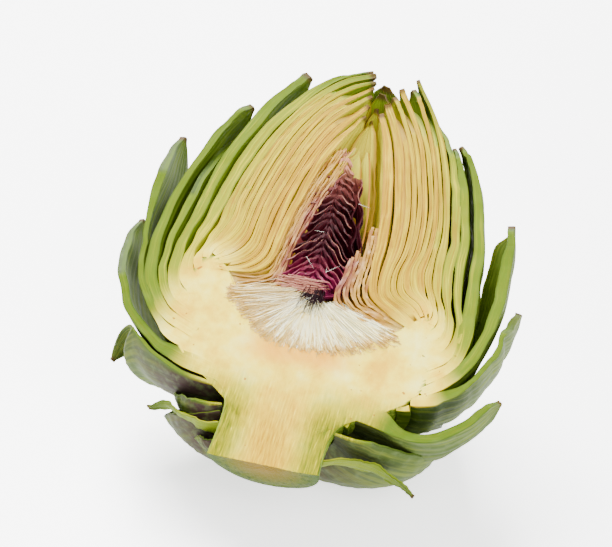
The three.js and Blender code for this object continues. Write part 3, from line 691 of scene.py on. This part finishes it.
def bract_leaf():
    """Waxy leaf skin round pale flesh: yellow inside the head, green outside with a purple bloom."""
    p = Painter("artichoke_bract")
    along, across, skin, cut, ring, tint = p.fields("along", "across", "skin", "cut", "ring", "tint")
    place = p.field("place", "Vector")
    x = p.split(place)[0]
    outer = p.step(skin, 0.45, 0.55)
    vein = p.grain(4, (across, 14), (along, 2.5), (tint, 30))
    cloud = p.noise(place, 0.1, 3)
    age = p.plus(ring, p.off(along, 0.45, 0.16))
    age = p.plus(age, p.off(tint, 0.5, 0.06))
    age = p.plus(age, p.step(along, 0.72, 1.0, 0.0, 0.22))

    # the two faces of the leaf: veins, purple bloom, purple foot, silvery scurf and the young rim
    outside = p.ramp(age, [
        (0.1, (0.5, 0.36, 0.01)), (0.38, (0.42, 0.34, 0.004)), (0.52, (0.15, 0.19, 0.003)),
        (0.68, (0.055, 0.095, 0.004)), (0.85, (0.032, 0.058, 0.006)), (1.0, (0.045, 0.072, 0.012)),
    ])
    inside = p.ramp(age, [
        (0.1, (0.66, 0.51, 0.03)), (0.45, (0.44, 0.39, 0.006)), (0.65, (0.14, 0.21, 0.003)),
        (0.85, (0.055, 0.095, 0.005)), (1.0, (0.06, 0.1, 0.008)),
    ])
    leaf = p.mix(outer, inside, outside)
    leaf = p.over(leaf, (0.24, 0.29, 0.03), p.step(vein, 0.45, 0.62), 0.3)
    leaf = p.over(leaf, (0.035, 0.06, 0.006), p.step(vein, 0.48, 0.34), 0.35)
    leaf = p.over(leaf, (0.04, 0.016, 0.02), p.step(cloud, 0.42, 0.6), p.step(ring, 0.6, 0.85),
                  outer, p.step(along, 0.7, 0.25, 0.05, 0.75), p.step(x, 20, -20, 0.12, 0.9))
    leaf = p.over(leaf, (0.034, 0.014, 0.017), p.step(ring, 0.9, 0.99), p.step(along, 0.6, 0.18),
                  p.step(x, 32, 0, 0.1, 1.0), p.step(vein, 0.3, 0.55, 0.45, 0.9), outer)
    leaf = p.over(leaf, (0.095, 0.13, 0.045), p.step(p.noise(place, 0.5, 5), 0.45, 0.7),
                  outer, p.step(ring, 0.6, 0.8, 0.0, 0.45))
    leaf = p.over(leaf, (0.26, 0.1, 0.015), p.step(p.math("ABSOLUTE", across), 0.72, 0.98),
                  p.step(ring, 0.42, 0.25, 0.0, 0.6))

    # the cut flesh: golden or greenish bands, streaks, brown blotches and the skins as thin lines
    streaks = p.grain(3, (along, 5), (skin, 5.0), (tint, 50))
    blotches = p.grain(3, (along, 16), (skin, 1.5), (tint, 90))
    flesh = p.ramp(age, [
        (0.08, (0.42, 0.26, 0.001)), (0.28, (0.46, 0.31, 0.001)), (0.46, (0.4, 0.34, 0.001)),
        (0.6, (0.24, 0.27, 0.002)), (0.74, (0.11, 0.17, 0.002)), (1.0, (0.075, 0.13, 0.002)),
    ])
    flesh = p.over(flesh, (0.44, 0.24, 0.001), p.step(tint, 0.45, 0.6), p.step(ring, 0.55, 0.4, 0.0, 0.75))
    flesh = p.over(flesh, (0.74, 0.58, 0.01), p.step(streaks, 0.52, 0.66), p.step(age, 0.85, 0.5, 0.05, 0.55))
    flesh = p.over(flesh, (0.3, 0.15, 0.001), p.step(streaks, 0.48, 0.38), p.step(age, 0.72, 0.5, 0.1, 0.85))
    flesh = p.over(flesh, (0.32, 0.14, 0.01), p.step(blotches, 0.6, 0.72), p.step(age, 0.62, 0.45, 0, 0.55))
    skin_line = p.ramp(ring, [
        (0.15, (0.4, 0.19, 0.02)), (0.42, (0.36, 0.24, 0.02)), (0.6, (0.09, 0.14, 0.008)),
        (1.0, (0.035, 0.065, 0.005)),
    ])
    rim = p.math("ABSOLUTE", p.off(skin, 0.5, 2))
    flesh = p.over(flesh, skin_line, p.step(rim, 0.6, 0.98), p.step(along, 0.14, 0.32, 0.0, 0.8))
    foot = p.math("SUBTRACT", along, p.times(ring, 0.11))
    flesh = p.mix(p.step(foot, 0.12, -0.04), flesh, cut_flesh(p, place)[0])
    colour = p.mix(cut, leaf, flesh)
    tip = p.step(p.plus(along, p.off(cloud, 0.5, 0.04)), 0.968, 0.992, 0.0, 0.85)
    colour = p.mix(tip, colour, (0.06, 0.025, 0.008))
    p.bump(p.plus(p.times(vein, 0.7), p.times(streaks, 0.6)), 0.35, 0.0005)
    return p.finish(colour, p.step(vein, 0.3, 0.7, 0.52, 0.66), subsurface=0.04, specular=0.08)


bract_family = family_of(RIGHT_LINES, LEFT_LINES)
leaf_material = bract_leaf()
for index, (name, *measures) in enumerate(BRACTS):
    bract = grow_bract(name, bract_family, *measures, seed=100 + 10 * index)
    bract.data.materials.append(leaf_material)
    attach(bract, "root")
    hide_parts(name)


# The lowest bracts spread from the top of the stem, off the head's own curve: short tough leaves, some
# bent back, some pressed against the table, and narrow strap-like ones beside them.
# name, azimuth of the midrib, half width, thickness, curl of the margins, belly outwards, line
LOW_BRACTS = [
    ("low_bract_back", 92, 19, 1.5, 0, 0,
     [(15, 13.4), (26, 15.6), (36, 20), (42.6, 28), (47.6, 38), (51.6, 47), (53, 56)]),
    ("low_bract_right", 46, 20, 1.6, 0, 2,
     [(14.4, 11), (22, 10.6), (30, 11.4), (36.6, 14.4), (41, 20), (43.6, 26.5)]),
    ("low_bract_left", 128, 17, 1.6, 0, 3,
     [(14, 11.4), (22, 10.6), (30, 11.4), (36, 14.4), (40, 19), (42.6, 24.5)]),
    ("recurved_bract_left", 157, 23, 1.1, 0, 9,
     [(14.4, 17.2), (20, 18.4), (27, 19.9), (36, 24.2), (43, 30.2), (47.4, 34.2), (50.2, 34.4), (52.6, 31.6),
      (54.8, 27.2)]),
    ("crescent_bract_left", 148, 12, 1.2, 0, 3, [(13.8, 13), (19, 12.6), (25, 14), (30, 17), (33, 20)]),
    ("stem_bract_left", 146, 6, 1.2, 0, 1, [(13.6, 5), (16.6, 4.6), (20.4, 6), (23.6, 8.6)]),
    ("strap_leaf_left", 166, 3, 1.2, 0, 0, [(13.6, 8.6), (18, 8.4), (24, 10.4), (30, 12.4), (34.6, 12)]),
    ("strap_leaf_right", 18, 2.8, 1.3, 0, 0, [(13.4, 4.6), (18, 6.8), (24, 7.6), (30, 6.6), (36, 4)]),
]
# a strap is as yellow-green as a younger bract of this line, and the bent-back bract narrows by this share
YOUNG_STRAP = 7.4
RECURVED_SLIM = 0.62
for index, (name, *measures, belly, line) in enumerate(LOW_BRACTS):
    family = family_of([line], [line])
    young = YOUNG_STRAP if "strap" in name else OUTERMOST
    slim = RECURVED_SLIM if "recurved" in name else 0
    bract = grow_bract(name, family, young, *measures, seed=700 + 10 * index, slim=slim, belly=belly)
    bract.data.materials.append(leaf_material)
    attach(bract, "root")
    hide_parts(name)


# The choke is a dense brush of hair-fine ivory bristles that fills the heart's bowl and leans in towards
# a pit in the middle. The cut lays their whole length open.
RIGHT_BOWL = [(0, 31.1), (9.6, 32.6), (17.4, 35.8), (22.4, 38.6)]
LEFT_BOWL = [(0, 31.1), (8.8, 33.6), (15, 38.6), (21.2, 43.6)]
RIGHT_TOP = [(0, 40.2), (4.6, 41.6), (10, 40.8), (17, 40), (22.4, 38.6)]
LEFT_TOP = [(0, 40.2), (4.8, 42.2), (10, 43), (16, 43.6), (21.2, 43.6)]
BRISTLES_IN_CUT = 9500
BRISTLES_ON_TOP = 5500
BRISTLE_RADIUS = 0.125
PIT_HEIGHT = 44.6
LOOSE_FEET = 1500
LOOSE_TUFT = -1.2
LOOSE_SIDE = -14.0


def needles(count):
    """So many copies of one three-sided tapering bristle of unit length, standing on the origin."""
    needle = bpy.data.meshes.new("needle")
    bm = bmesh.new()
    bmesh.ops.create_cone(bm, cap_ends=True, segments=3, radius1=1.0, radius2=0.25, depth=1.0)
    bmesh.ops.translate(bm, vec=(0, 0, 0.5), verts=bm.verts[:])
    bm.to_mesh(needle)
    bm.free()
    bm = bmesh.new()
    for _ in range(count):
        bm.from_mesh(needle)
    bpy.data.meshes.remove(needle)
    return bm


def brush(name, roots, tips, radii, fields):
    """One mesh of many bristles, each set from its root to its tip."""
    ends = tips - roots
    way = ends / np.linalg.norm(ends, axis=1, keepdims=True)
    side = np.cross(way, np.array([0.31, 0.17, 0.93]))
    side /= np.linalg.norm(side, axis=1, keepdims=True)
    other = np.cross(way, side)
    bm = needles(len(roots))
    corners = grid_places(bm).reshape(len(roots), -1, 3)
    places = roots[:, None]
    for axis, reach in enumerate((side * radii[:, None], other * radii[:, None], ends)):
        places = places + corners[:, :, axis:axis + 1] * reach[:, None]
    fields = {field: np.repeat(values, corners.shape[1]) for field, values in fields.items()}
    fields["along"] = corners[:, :, 2].ravel()
    return shaped(name, bm, places.reshape(-1, 3), fields)


def side_point(curves, share, azimuth):
    """Radius and height on a pair of curves, the right one blended into the left."""
    right, left = (curve(share) for curve in curves)
    part = left_share(azimuth)
    return right[0] * (1 - part) + left[0] * part, right[1] * (1 - part) + left[1] * part


chance = np.random.default_rng(17)
bowl = (curve_through(RIGHT_BOWL), curve_through(LEFT_BOWL))
top = (curve_through(RIGHT_TOP), curve_through(LEFT_TOP))
count = BRISTLES_IN_CUT + BRISTLES_ON_TOP
in_cut = np.arange(count) < BRISTLES_IN_CUT
share = np.where(in_cut, chance.uniform(0, 1, count), np.sqrt(chance.uniform(0.002, 1, count)))
azimuth = np.where(in_cut, np.where(chance.random(count) < 0.5, 0, 180), chance.uniform(0, 180, count))
cosine, sine = np.cos(np.radians(azimuth)), np.sin(np.radians(azimuth))
root_radius, root_height = side_point(bowl, share, azimuth)
tuft = ripple(41, root_radius * cosine * 2.4, root_radius * sine * 2.4)
root_height = root_height + 0.5 * tuft + chance.uniform(-0.7, 1.0, count)
shallow = np.where(in_cut, chance.uniform(-0.45, 1.3, count) + 0.4 * tuft, 0)
root_height = root_height - 0.9 * chance.random(count) * (shallow < 0.1) * in_cut
roots = np.stack([
    root_radius * cosine,
    root_height,
    np.maximum(root_radius * sine * FLATTENING, 0.25) + shallow,
], axis=1)
pit = np.array([-0.4, PIT_HEIGHT, 1.2])
reach = chance.uniform(0.55, 0.97, count) * (1 - 0.22 * share)
tips = roots + (pit - roots) * reach[:, None]
tips[:, 1] += 1.6 * share * reach + chance.uniform(-0.5, 0.6, count)
stray = (~in_cut) | (chance.random(count) < 0.15 + 0.5 * (roots[:, 0] < -8))
tips += chance.normal(0, 0.45, (count, 3)) * (stray * (1 + 1.1 * (roots[:, 0] < -8)))[:, None]
tips[:, 2] = np.maximum(tips[:, 2], -0.1)
raised = chance.random(count) < 0.6
roots = roots + (tips - roots) * (chance.uniform(0, 0.5, count) * raised)[:, None]

# short bristles that lie loose along the bowl's edge, most of them on the left
loose_share = chance.beta(1.6, 1.2, LOOSE_FEET)
loose_azimuth = np.where(chance.random(LOOSE_FEET) < 0.7, 180, 0)
loose_radius, loose_height = side_point(bowl, loose_share, loose_azimuth)
loose_x = loose_radius * np.cos(np.radians(loose_azimuth))
outside = chance.uniform(-2.2, 1.6, LOOSE_FEET)
loose_roots = np.stack([
    loose_x * (1 - 0.03 * outside) + chance.normal(0, 0.5, LOOSE_FEET),
    loose_height + outside,
    chance.uniform(-0.02, 0.12, LOOSE_FEET),
], axis=1)
toward = (pit - loose_roots) / np.linalg.norm(pit - loose_roots, axis=1, keepdims=True)
loose_tips = loose_roots + toward * chance.uniform(1.0, 3.6, LOOSE_FEET)[:, None]
loose_tips += chance.normal(0, 0.55, (LOOSE_FEET, 3))
loose_tips[:, 2] = np.clip(loose_tips[:, 2], -0.25, 0.1)
roots = np.concatenate([roots, loose_roots])
tips = np.concatenate([tips, loose_tips])
tuft = np.concatenate([tuft, np.full(LOOSE_FEET, LOOSE_TUFT)])
tan_side = np.concatenate([roots[:count, 0], np.full(LOOSE_FEET, LOOSE_SIDE)])
foot = np.concatenate([1.0 - raised, np.ones(LOOSE_FEET)])
count = len(roots)
bristles = brush(
    "choke_bristles_brush",
    row_place(*roots.T),
    row_place(*tips.T),
    BRISTLE_RADIUS * MM * chance.uniform(0.6, 1.4, count),
    {"tint": np.clip(0.6 + 0.25 * tuft + chance.normal(0, 0.2, count), 0, 1), "side": tan_side, "foot": foot},
)


def choke_bed_and_shade():
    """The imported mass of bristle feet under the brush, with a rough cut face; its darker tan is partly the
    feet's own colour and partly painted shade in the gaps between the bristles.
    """
    bm = single_sheet(96, 40)
    around, up, _ = grid_places(bm).T
    azimuth = np.clip(around * 2, 0, 1) * 180
    from_axis = np.clip(around * 2 - 1, 0, 1) * 2 - 1
    on_cut = around > 0.5
    azimuth = np.where(on_cut, np.where(from_axis > 0, 0, 180), azimuth)
    foot = side_point(bowl, np.clip(up * 2, 0, 1), azimuth)
    crown = side_point(top, np.clip(2 - up * 2, 0, 1), azimuth)
    lower = up < 0.5
    radius = np.where(lower, foot[0], crown[0])
    height = np.where(lower, foot[1] + 0.35, crown[1] - 0.9)
    reach = np.where(on_cut, np.abs(from_axis), 1)
    middle = np.where(lower, RIGHT_BOWL[0][1], RIGHT_TOP[0][1])
    height = np.where(on_cut, middle + (height - middle) * reach, height)
    x, depth = around_axis(radius * reach, azimuth)
    cut_depth = 0.5 + 0.25 * ripple(23, x * 1.5, height * 0.5)
    depth = np.where(on_cut, cut_depth, depth + 0.5)
    return shaped("choke_bristle_bed_and_shade", bm, row_place(x, height, depth), {
        # a low tint for a darker tan than the bristles: partly the feet's colour, partly painted shade
        # between the bristles
        "tint": 0.2 + 0.25 * ripple(29, x * 2, height * 0.3),
        "side": x,
        "along": np.clip((height - 31) / 12, 0, 1),
    }, weld=1e-6)


def choke_fibre():
    """Ivory bristles, tan at the foot and on the drier left side; the bed's low tint gives a darker tan,
    partly painted shade between the bristles.
    """
    p = Painter("choke_fibre")
    along, tint, side, foot = p.fields("along", "tint", "side", "foot")
    ivory = p.ramp(tint, [(0.0, (0.72, 0.55, 0.16)), (0.25, (0.94, 0.84, 0.42)), (0.6, (0.97, 0.95, 0.68)),
                          (1.0, (0.98, 0.97, 0.84))])
    colour = p.over(p.deepen(ivory, 1.25), (0.66, 0.4, 0.06),
                    p.step(along, 0.24, 0.02, 0.0, 0.9), foot)
    colour = p.over(colour, (0.58, 0.36, 0.07), p.step(side, -6, -15), p.step(tint, 0.8, 0.3, 0.25, 0.85))
    return p.finish(colour, 0.6, subsurface=0.1)


fibre_material = choke_fibre()
for piece in (bristles, choke_bed_and_shade()):
    piece.data.materials.append(fibre_material)
    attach(piece, "root")
    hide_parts("choke_bristles")


# The innermost leaves are thin, crisp and violet. They close over the choke in crumpled caps, one above
# the other, with narrow upright leaves round them; the cut shows their folded edges.
RIGHT_VIOLET_LINES = [
    [(2.4, 45.4), (6, 47.6), (7.8, 52.6), (7, 60), (4.8, 69), (2, 79)],
    [(2, 46.2), (4, 48.8), (5.4, 54), (4.4, 61), (1.8, 71)],
    [(1.4, 46.8), (1.8, 50), (2, 55.6), (1.6, 61), (1.2, 65)],
]
LEFT_VIOLET_LINES = [
    [(2.4, 45.4), (6.8, 48), (9.2, 53.6), (8.4, 61), (5.8, 70), (2.4, 80)],
    [(2, 46.2), (4.6, 49), (6.2, 54.6), (5.2, 62), (2, 72)],
    [(1.4, 46.8), (1.8, 50), (2, 56), (1.6, 62), (1.2, 66)],
]
# number of upright leaves in a layer, half width, first azimuth in degrees, line
VIOLET_LAYERS = [(8, 2.8, 32, 0), (4, 2.6, 50, 0.5)]
VIOLET_THICKNESS = 0.26
CAP_LOWEST = 48.0
CAP_HIGHEST = 84.0
CAP_COUNT = 19
# reach of a cap from the axis, by its share of the way from the lowest cap to the highest
CAP_SHARES = [0, 0.12, 0.4, 0.75, 1]
CAP_REACHES = [3.4, 7.2, 6.8, 4.4, 1.6]
violet_family = family_of(RIGHT_VIOLET_LINES, LEFT_VIOLET_LINES)


def join_pieces(name, pieces):
    """One object from several, so that the layers count as one piece."""
    bm = bmesh.new()
    for piece in pieces:
        bm.from_mesh(piece.data)
        mesh = piece.data
        bpy.data.objects.remove(piece)
        bpy.data.meshes.remove(mesh)
    mesh = bpy.data.meshes.new(name)
    bm.to_mesh(mesh)
    bm.free()
    return placed(name, mesh)


def violet_leaf(index, line, azimuth, half_width):
    """A narrow upright leaf with cross folds."""
    bm = layered_grid(8, 34, 1)
    column, along, layer = grid_places(bm).T
    seed = 900 + index
    middle_radius, _ = point_of(violet_family, line, along, np.full_like(along, azimuth))
    reach = half_width * np.clip(np.sin(np.clip(along * 0.93 + 0.05, 0, 1) * math.pi), 0.06, 1) ** 0.7
    half_angle = np.minimum(np.degrees(reach / np.maximum(middle_radius, 1.5)), 60)
    here = np.clip(azimuth + (column * 2 - 1) * half_angle, 0, 180)
    radius, height = point_of(violet_family, line, along, here)
    fold = 0.55 * np.sin(along * 26 + seed) * smooth_step(along, 0.1, 0.3)
    fold = fold + 0.4 * ripple(seed, along * 5, column)
    radius = np.maximum(radius + fold + (layer - 0.5) * VIOLET_THICKNESS, 0.2)
    x, depth = around_axis(radius, here)
    depth = np.maximum(depth, 0.15 + 0.1 * layer)
    return shaped("violet_leaf", bm, row_place(x, height, depth), {
        "edge": 0.25 * (depth < 0.3).astype(float),
        "rise": height,
        "tint": random.Random(seed).random(),
    })


def violet_cap(index, level, reach):
    """A crumpled leaf folded over the axis, seen edge on in the cut."""
    bm = layered_grid(64, 24, 1)
    column, outward, layer = grid_places(bm).T
    seed = 1300 + 7 * index
    azimuth = column * 180
    radius = 0.3 + outward * reach * (1 + 0.15 * ripple(seed, column * 5))
    x, depth = around_axis(radius, azimuth)
    x = x + (-1.6 - 1.4 * (level - 46) / 30)
    droop = -radius * (0.78 + 0.1 * ripple(seed + 5, column * 3)) - 0.01 * radius**2
    crumple = ripple(771, x * 0.18, level * 0.08, azimuth / 60)
    crumple = crumple + 0.12 * ripple(seed + 1, x * 0.25, azimuth / 40)
    height = level + 2.2 + droop + crumple + (layer - 0.5) * VIOLET_THICKNESS
    depth = np.maximum(depth, 0.15 + 0.6 * (1 + ripple(seed + 3, x * 0.3)))
    return shaped("violet_cap", bm, row_place(x, height, depth), {
        "edge": ((column < 0.01) | (column > 0.99)).astype(float) * (layer > 0.5),
        "rise": height,
        "tint": random.Random(seed).random(),
    })


def violet_skin():
    """Maroon and magenta leaf, paler violet towards the tips, and near black at the pit's height as painted
    shade.
    """
    p = Painter("violet_leaf_skin")
    rise, tint, edge = p.fields("rise", "tint", "edge")
    mottle = p.grain(4, (rise, 0.5), (tint, 40))
    # near black at the pit's height (44): painted shade in the pit's hollow; magenta just above it
    colour = p.ramp(p.off(rise, 44, 1 / 40), [
        (0.0, (0.012, 0.002, 0.004)), (0.1, (0.22, 0.012, 0.065)), (0.22, (0.1, 0.003, 0.018)),
        (0.34, (0.026, 0.001, 0.004)), (0.66, (0.032, 0.002, 0.004)), (0.84, (0.13, 0.028, 0.022)),
        (0.95, (0.42, 0.17, 0.09)),
    ])
    colour = p.over(colour, (0.16, 0.03, 0.05), p.step(mottle, 0.52, 0.7), 0.22)
    colour = p.over(colour, (0.012, 0.001, 0.003), p.step(mottle, 0.45, 0.3), 0.6)
    colour = p.over(colour, (0.46, 0.2, 0.13), edge, p.step(tint, 0.2, 1.0, 0.1, 0.9))
    p.bump(mottle, 0.3, 0.0004)
    return p.finish(colour, 0.42, subsurface=0.02, specular=0.12)


layers = []
for count, half_width, first, line in VIOLET_LAYERS:
    for i in range(count):
        azimuth = first + (180 - 2 * first) * i / (count - 1)
        layers.append(violet_leaf(len(layers), line, azimuth, half_width))
for i in range(CAP_COUNT):
    part = i / (CAP_COUNT - 1)
    level = CAP_LOWEST + (CAP_HIGHEST - CAP_LOWEST) * part
    layers.append(violet_cap(i, level, np.interp(part, CAP_SHARES, CAP_REACHES)))
violets = join_pieces("violet_inner_leaves_crumpled", layers)
violet_material = violet_skin()
violets.data.materials.append(violet_material)
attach(violets, "root")
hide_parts("violet_inner_leaves")


# Very thin young leaves stand between the bracts and the violet caps. They grow from the heart's rim, tan
# and flushed violet, and the cut shows them edge on; a few pale ones stand behind the caps.
FLANK_RIGHT = [
    [(22, 39.4), (14, 41.0), (6.6, 43.4), (4.6, 47.5), (5.4, 53), (5.4, 60), (4.8, 68), (3.2, 77), (1.6, 86)],
    [(25, 41.5), (18, 44.0), (12.4, 47.4), (11.2, 54), (10.8, 61), (9.8, 70), (7.4, 80), (4.6, 89)],
]
FLANK_LEFT = [
    [(22, 43.9), (15, 44.2), (9.8, 45.2), (9.6, 51), (8.6, 60), (6.2, 70), (3.8, 79), (1.8, 87)],
    [(25, 48.2), (18, 48.2), (13.4, 51.6), (12.2, 58), (11.4, 65), (10.2, 73), (8, 82), (5, 90)],
]
FLANK_FOLDS = 9
FOLD_WIDTH = 5.5
FOLD_RADIUS = 9
# azimuth in degrees, half width, line
INNER_LEAVES = [(116, 8, 0.0), (62, 6, 0.35), (150, 5, 0.1)]
SMOOTH_TINT = 2.0
flank_family = family_of(FLANK_RIGHT, FLANK_LEFT)


def flank_fold(index, side):
    """A very thin young leaf beside the violet caps, from the heart's rim up to the closing tips."""
    bm = layered_grid(14, 90, 1)
    column, along, layer = grid_places(bm).T
    seed = 1700 + index * 2 + side
    line = index / (FLANK_FOLDS - 1)
    draw = random.Random(seed)
    along = along * (draw.uniform(0.75, 1) if side else draw.uniform(0.42, 0.62))
    inwards = -1 if side else 1
    width = 0.55 + 0.45 * np.sin(np.clip(along, 0, 1) * math.pi)
    half_angle = np.degrees(np.arctan(FOLD_WIDTH / FOLD_RADIUS)) * width
    here = np.clip(180 * side + inwards * column * half_angle, 0, 180)
    radius, height = point_of(flank_family, line, along, here)
    wrinkle = 0.22 * ripple(seed, along * 9, column) + 0.12 * ripple(seed + 1, along * 24, column)
    thick = (0.46 if side else 0.62) + 0.12 * ripple(seed + 2, along * 7)
    radius = np.maximum(radius + wrinkle + (layer - 0.5) * thick, 0.2)
    height = height + wrinkle * 0.8 + (layer - 0.5) * thick * smooth_step(along, 0.3, 0.1)
    x, depth = around_axis(radius, here)
    open_end = 0.2 + 0.35 * (1 + ripple(seed + 3, along * 8)) + 0.6 * smooth_step(along, 0.06, 0.0)
    depth = np.maximum(depth, open_end)
    return shaped("flank_fold", bm, row_place(x, height, depth), {
        "rise": height,
        "along": along,
        "inner": 1 - line,
        "edge": (column < 0.04).astype(float),
        "tint": draw.random(),
    })


def inner_leaf(azimuth, half_width, line, seed):
    """A smooth pale leaf that stands behind the violet caps and leans over them."""
    bm = layered_grid(22, 60, 1)
    column, along, layer = grid_places(bm).T
    across = column * 2 - 1
    middle_radius, _ = point_of(flank_family, line, along, np.full_like(along, azimuth))
    reach = np.maximum(half_width * width_share(along), 0.4)
    half_angle = np.minimum(np.degrees(reach / np.maximum(middle_radius, 2.5)), 75)
    here = np.clip(azimuth + across * half_angle, 12, 168)
    radius, height = point_of(flank_family, line, along, here)
    radius = np.maximum(radius + 0.25 * ripple(seed, along * 4, column * 2) + (layer - 0.5) * 0.4, 0.3)
    x, depth = around_axis(radius, here)
    depth = np.maximum(depth, 0.4)
    return shaped("inner_leaf", bm, row_place(x, height, depth), {
        "rise": height,
        "along": along,
        "inner": 0.0,
        "edge": np.abs(across) ** 8,
        "tint": SMOOTH_TINT,
    })


def flank_skin():
    """Tan young leaf, cream at its foot and flushed violet where it lies against the violet caps."""
    p = Painter("young_leaf_skin")
    rise, along, inner, tint, edge = p.fields("rise", "along", "inner", "tint", "edge")
    mottle = p.grain(4, (rise, 0.25), (tint, 60))
    colour = p.ramp(mottle, [(0.3, (0.26, 0.1, 0.01)), (0.5, (0.4, 0.22, 0.01)), (0.7, (0.52, 0.34, 0.01))])
    colour = p.over(colour, (0.16, 0.025, 0.03), p.step(rise, 42, 48), p.step(rise, 84, 68),
                    p.step(inner, 0.1, 0.9, 0.1, 0.95))
    colour = p.over(colour, (0.46, 0.24, 0.05), edge, p.step(mottle, 0.4, 0.6, 0.1, 0.6))
    colour = p.over(colour, (0.86, 0.66, 0.18), p.step(along, 0.1, 0.02, 0.0, 0.6))
    colour = p.over(colour, (0.3, 0.12, 0.05), p.step(along, 0.88, 1.0, 0.0, 0.6))
    face = p.ramp(p.off(rise, 50, 1 / 40), [
        (0.0, (0.4, 0.24, 0.03)), (0.3, (0.58, 0.46, 0.05)), (1.0, (0.5, 0.46, 0.02)),
    ])
    face = p.over(face, (0.36, 0.15, 0.01), edge)
    colour = p.over(colour, face, p.step(tint, SMOOTH_TINT - 0.5, SMOOTH_TINT - 0.4))
    p.bump(mottle, 0.3, 0.0004)
    return p.finish(colour, 0.45, subsurface=0.05)


folds = [flank_fold(index, side) for side in (0, 1) for index in range(FLANK_FOLDS)]
leaves = [inner_leaf(*measures, seed=1900 + index) for index, measures in enumerate(INNER_LEAVES)]
flanks = join_pieces("violet_young_leaves", folds + leaves)
flanks.data.materials.append(flank_skin())
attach(flanks, "root")
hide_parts("violet_inner_leaves")


# A few pale hairs lie across the cut violet leaves, near-black strands hang from them into the pit of the
# choke, and paler lilac ones lie beside it. All of them are dried shreds of the innermost leaves; the
# near-black ones also stand for painted shade in the pit's hollow.
HAIR_COUNT = 6
HAIR_RADIUS = 0.035
PIT_STRANDS = 150
PIT_RADIUS = 0.11
PIT_MIDDLE = -0.6
LILAC_STRANDS = 90
LILAC_RADIUS = 0.13


def scatter(count, *spans):
    """Chance points, each coordinate drawn from its own span."""
    return np.stack([chance.uniform(low, high, count) for low, high in spans], axis=1)


hair_roots = scatter(HAIR_COUNT, (48, 72), (-5, 5), (-0.1, 0.3))[:, [1, 0, 2]] - (1, 0, 0)
hair_tips = hair_roots + scatter(HAIR_COUNT, (-4, 5), (-6, 4), (-0.2, 0.2))
hair_tips[:, 2] = np.clip(hair_tips[:, 2], -0.3, 0.2)
hairs = brush(
    "violet_inner_hairs",
    row_place(*hair_roots.T),
    row_place(*hair_tips.T),
    np.full(HAIR_COUNT, HAIR_RADIUS * MM),
    {"tint": np.ones(HAIR_COUNT), "side": np.zeros(HAIR_COUNT)},
)
pit_roots = scatter(PIT_STRANDS, (-2.6, 2.4), (44.6, 47.5), (-0.2, 1.6)) + (PIT_MIDDLE, 0, 0)
pit_ways = scatter(PIT_STRANDS, (-0.1, 0.6), (1.5, 5.5), (-0.9, 0.2)) * (1, -1, 1)
pit_ways[:, 0] *= pit_roots[:, 0] - PIT_MIDDLE
lilac_roots = scatter(LILAC_STRANDS, (-10.5, -3), (45.6, 49.5), (-0.15, 0.3))
lilac_ways = scatter(LILAC_STRANDS, (2.5, 6.5), (-0.4, 0.9), (-0.1, 0.2))
strand_roots = np.concatenate([pit_roots, lilac_roots])
strand_tips = strand_roots + np.concatenate([pit_ways, lilac_ways])
pale = np.repeat([0.0, 1.0], [PIT_STRANDS, LILAC_STRANDS])
pit_shade_and_lilac_strands = brush(
    "violet_pit_shade_and_lilac_strands",
    row_place(*strand_roots.T),
    row_place(*strand_tips.T),
    np.repeat([PIT_RADIUS * MM, LILAC_RADIUS * MM], [PIT_STRANDS, LILAC_STRANDS]),
    # rise 44 gives the dark strands the near-black start of the violet ramp: painted shade in the pit
    {"tint": pale, "rise": 44.0 + 4.0 * pale, "edge": pale},
)
for piece, material in ((hairs, fibre_material), (pit_shade_and_lilac_strands, violet_material)):
    piece.data.materials.append(material)
    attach(piece, "root")
    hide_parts("violet_inner_leaves")
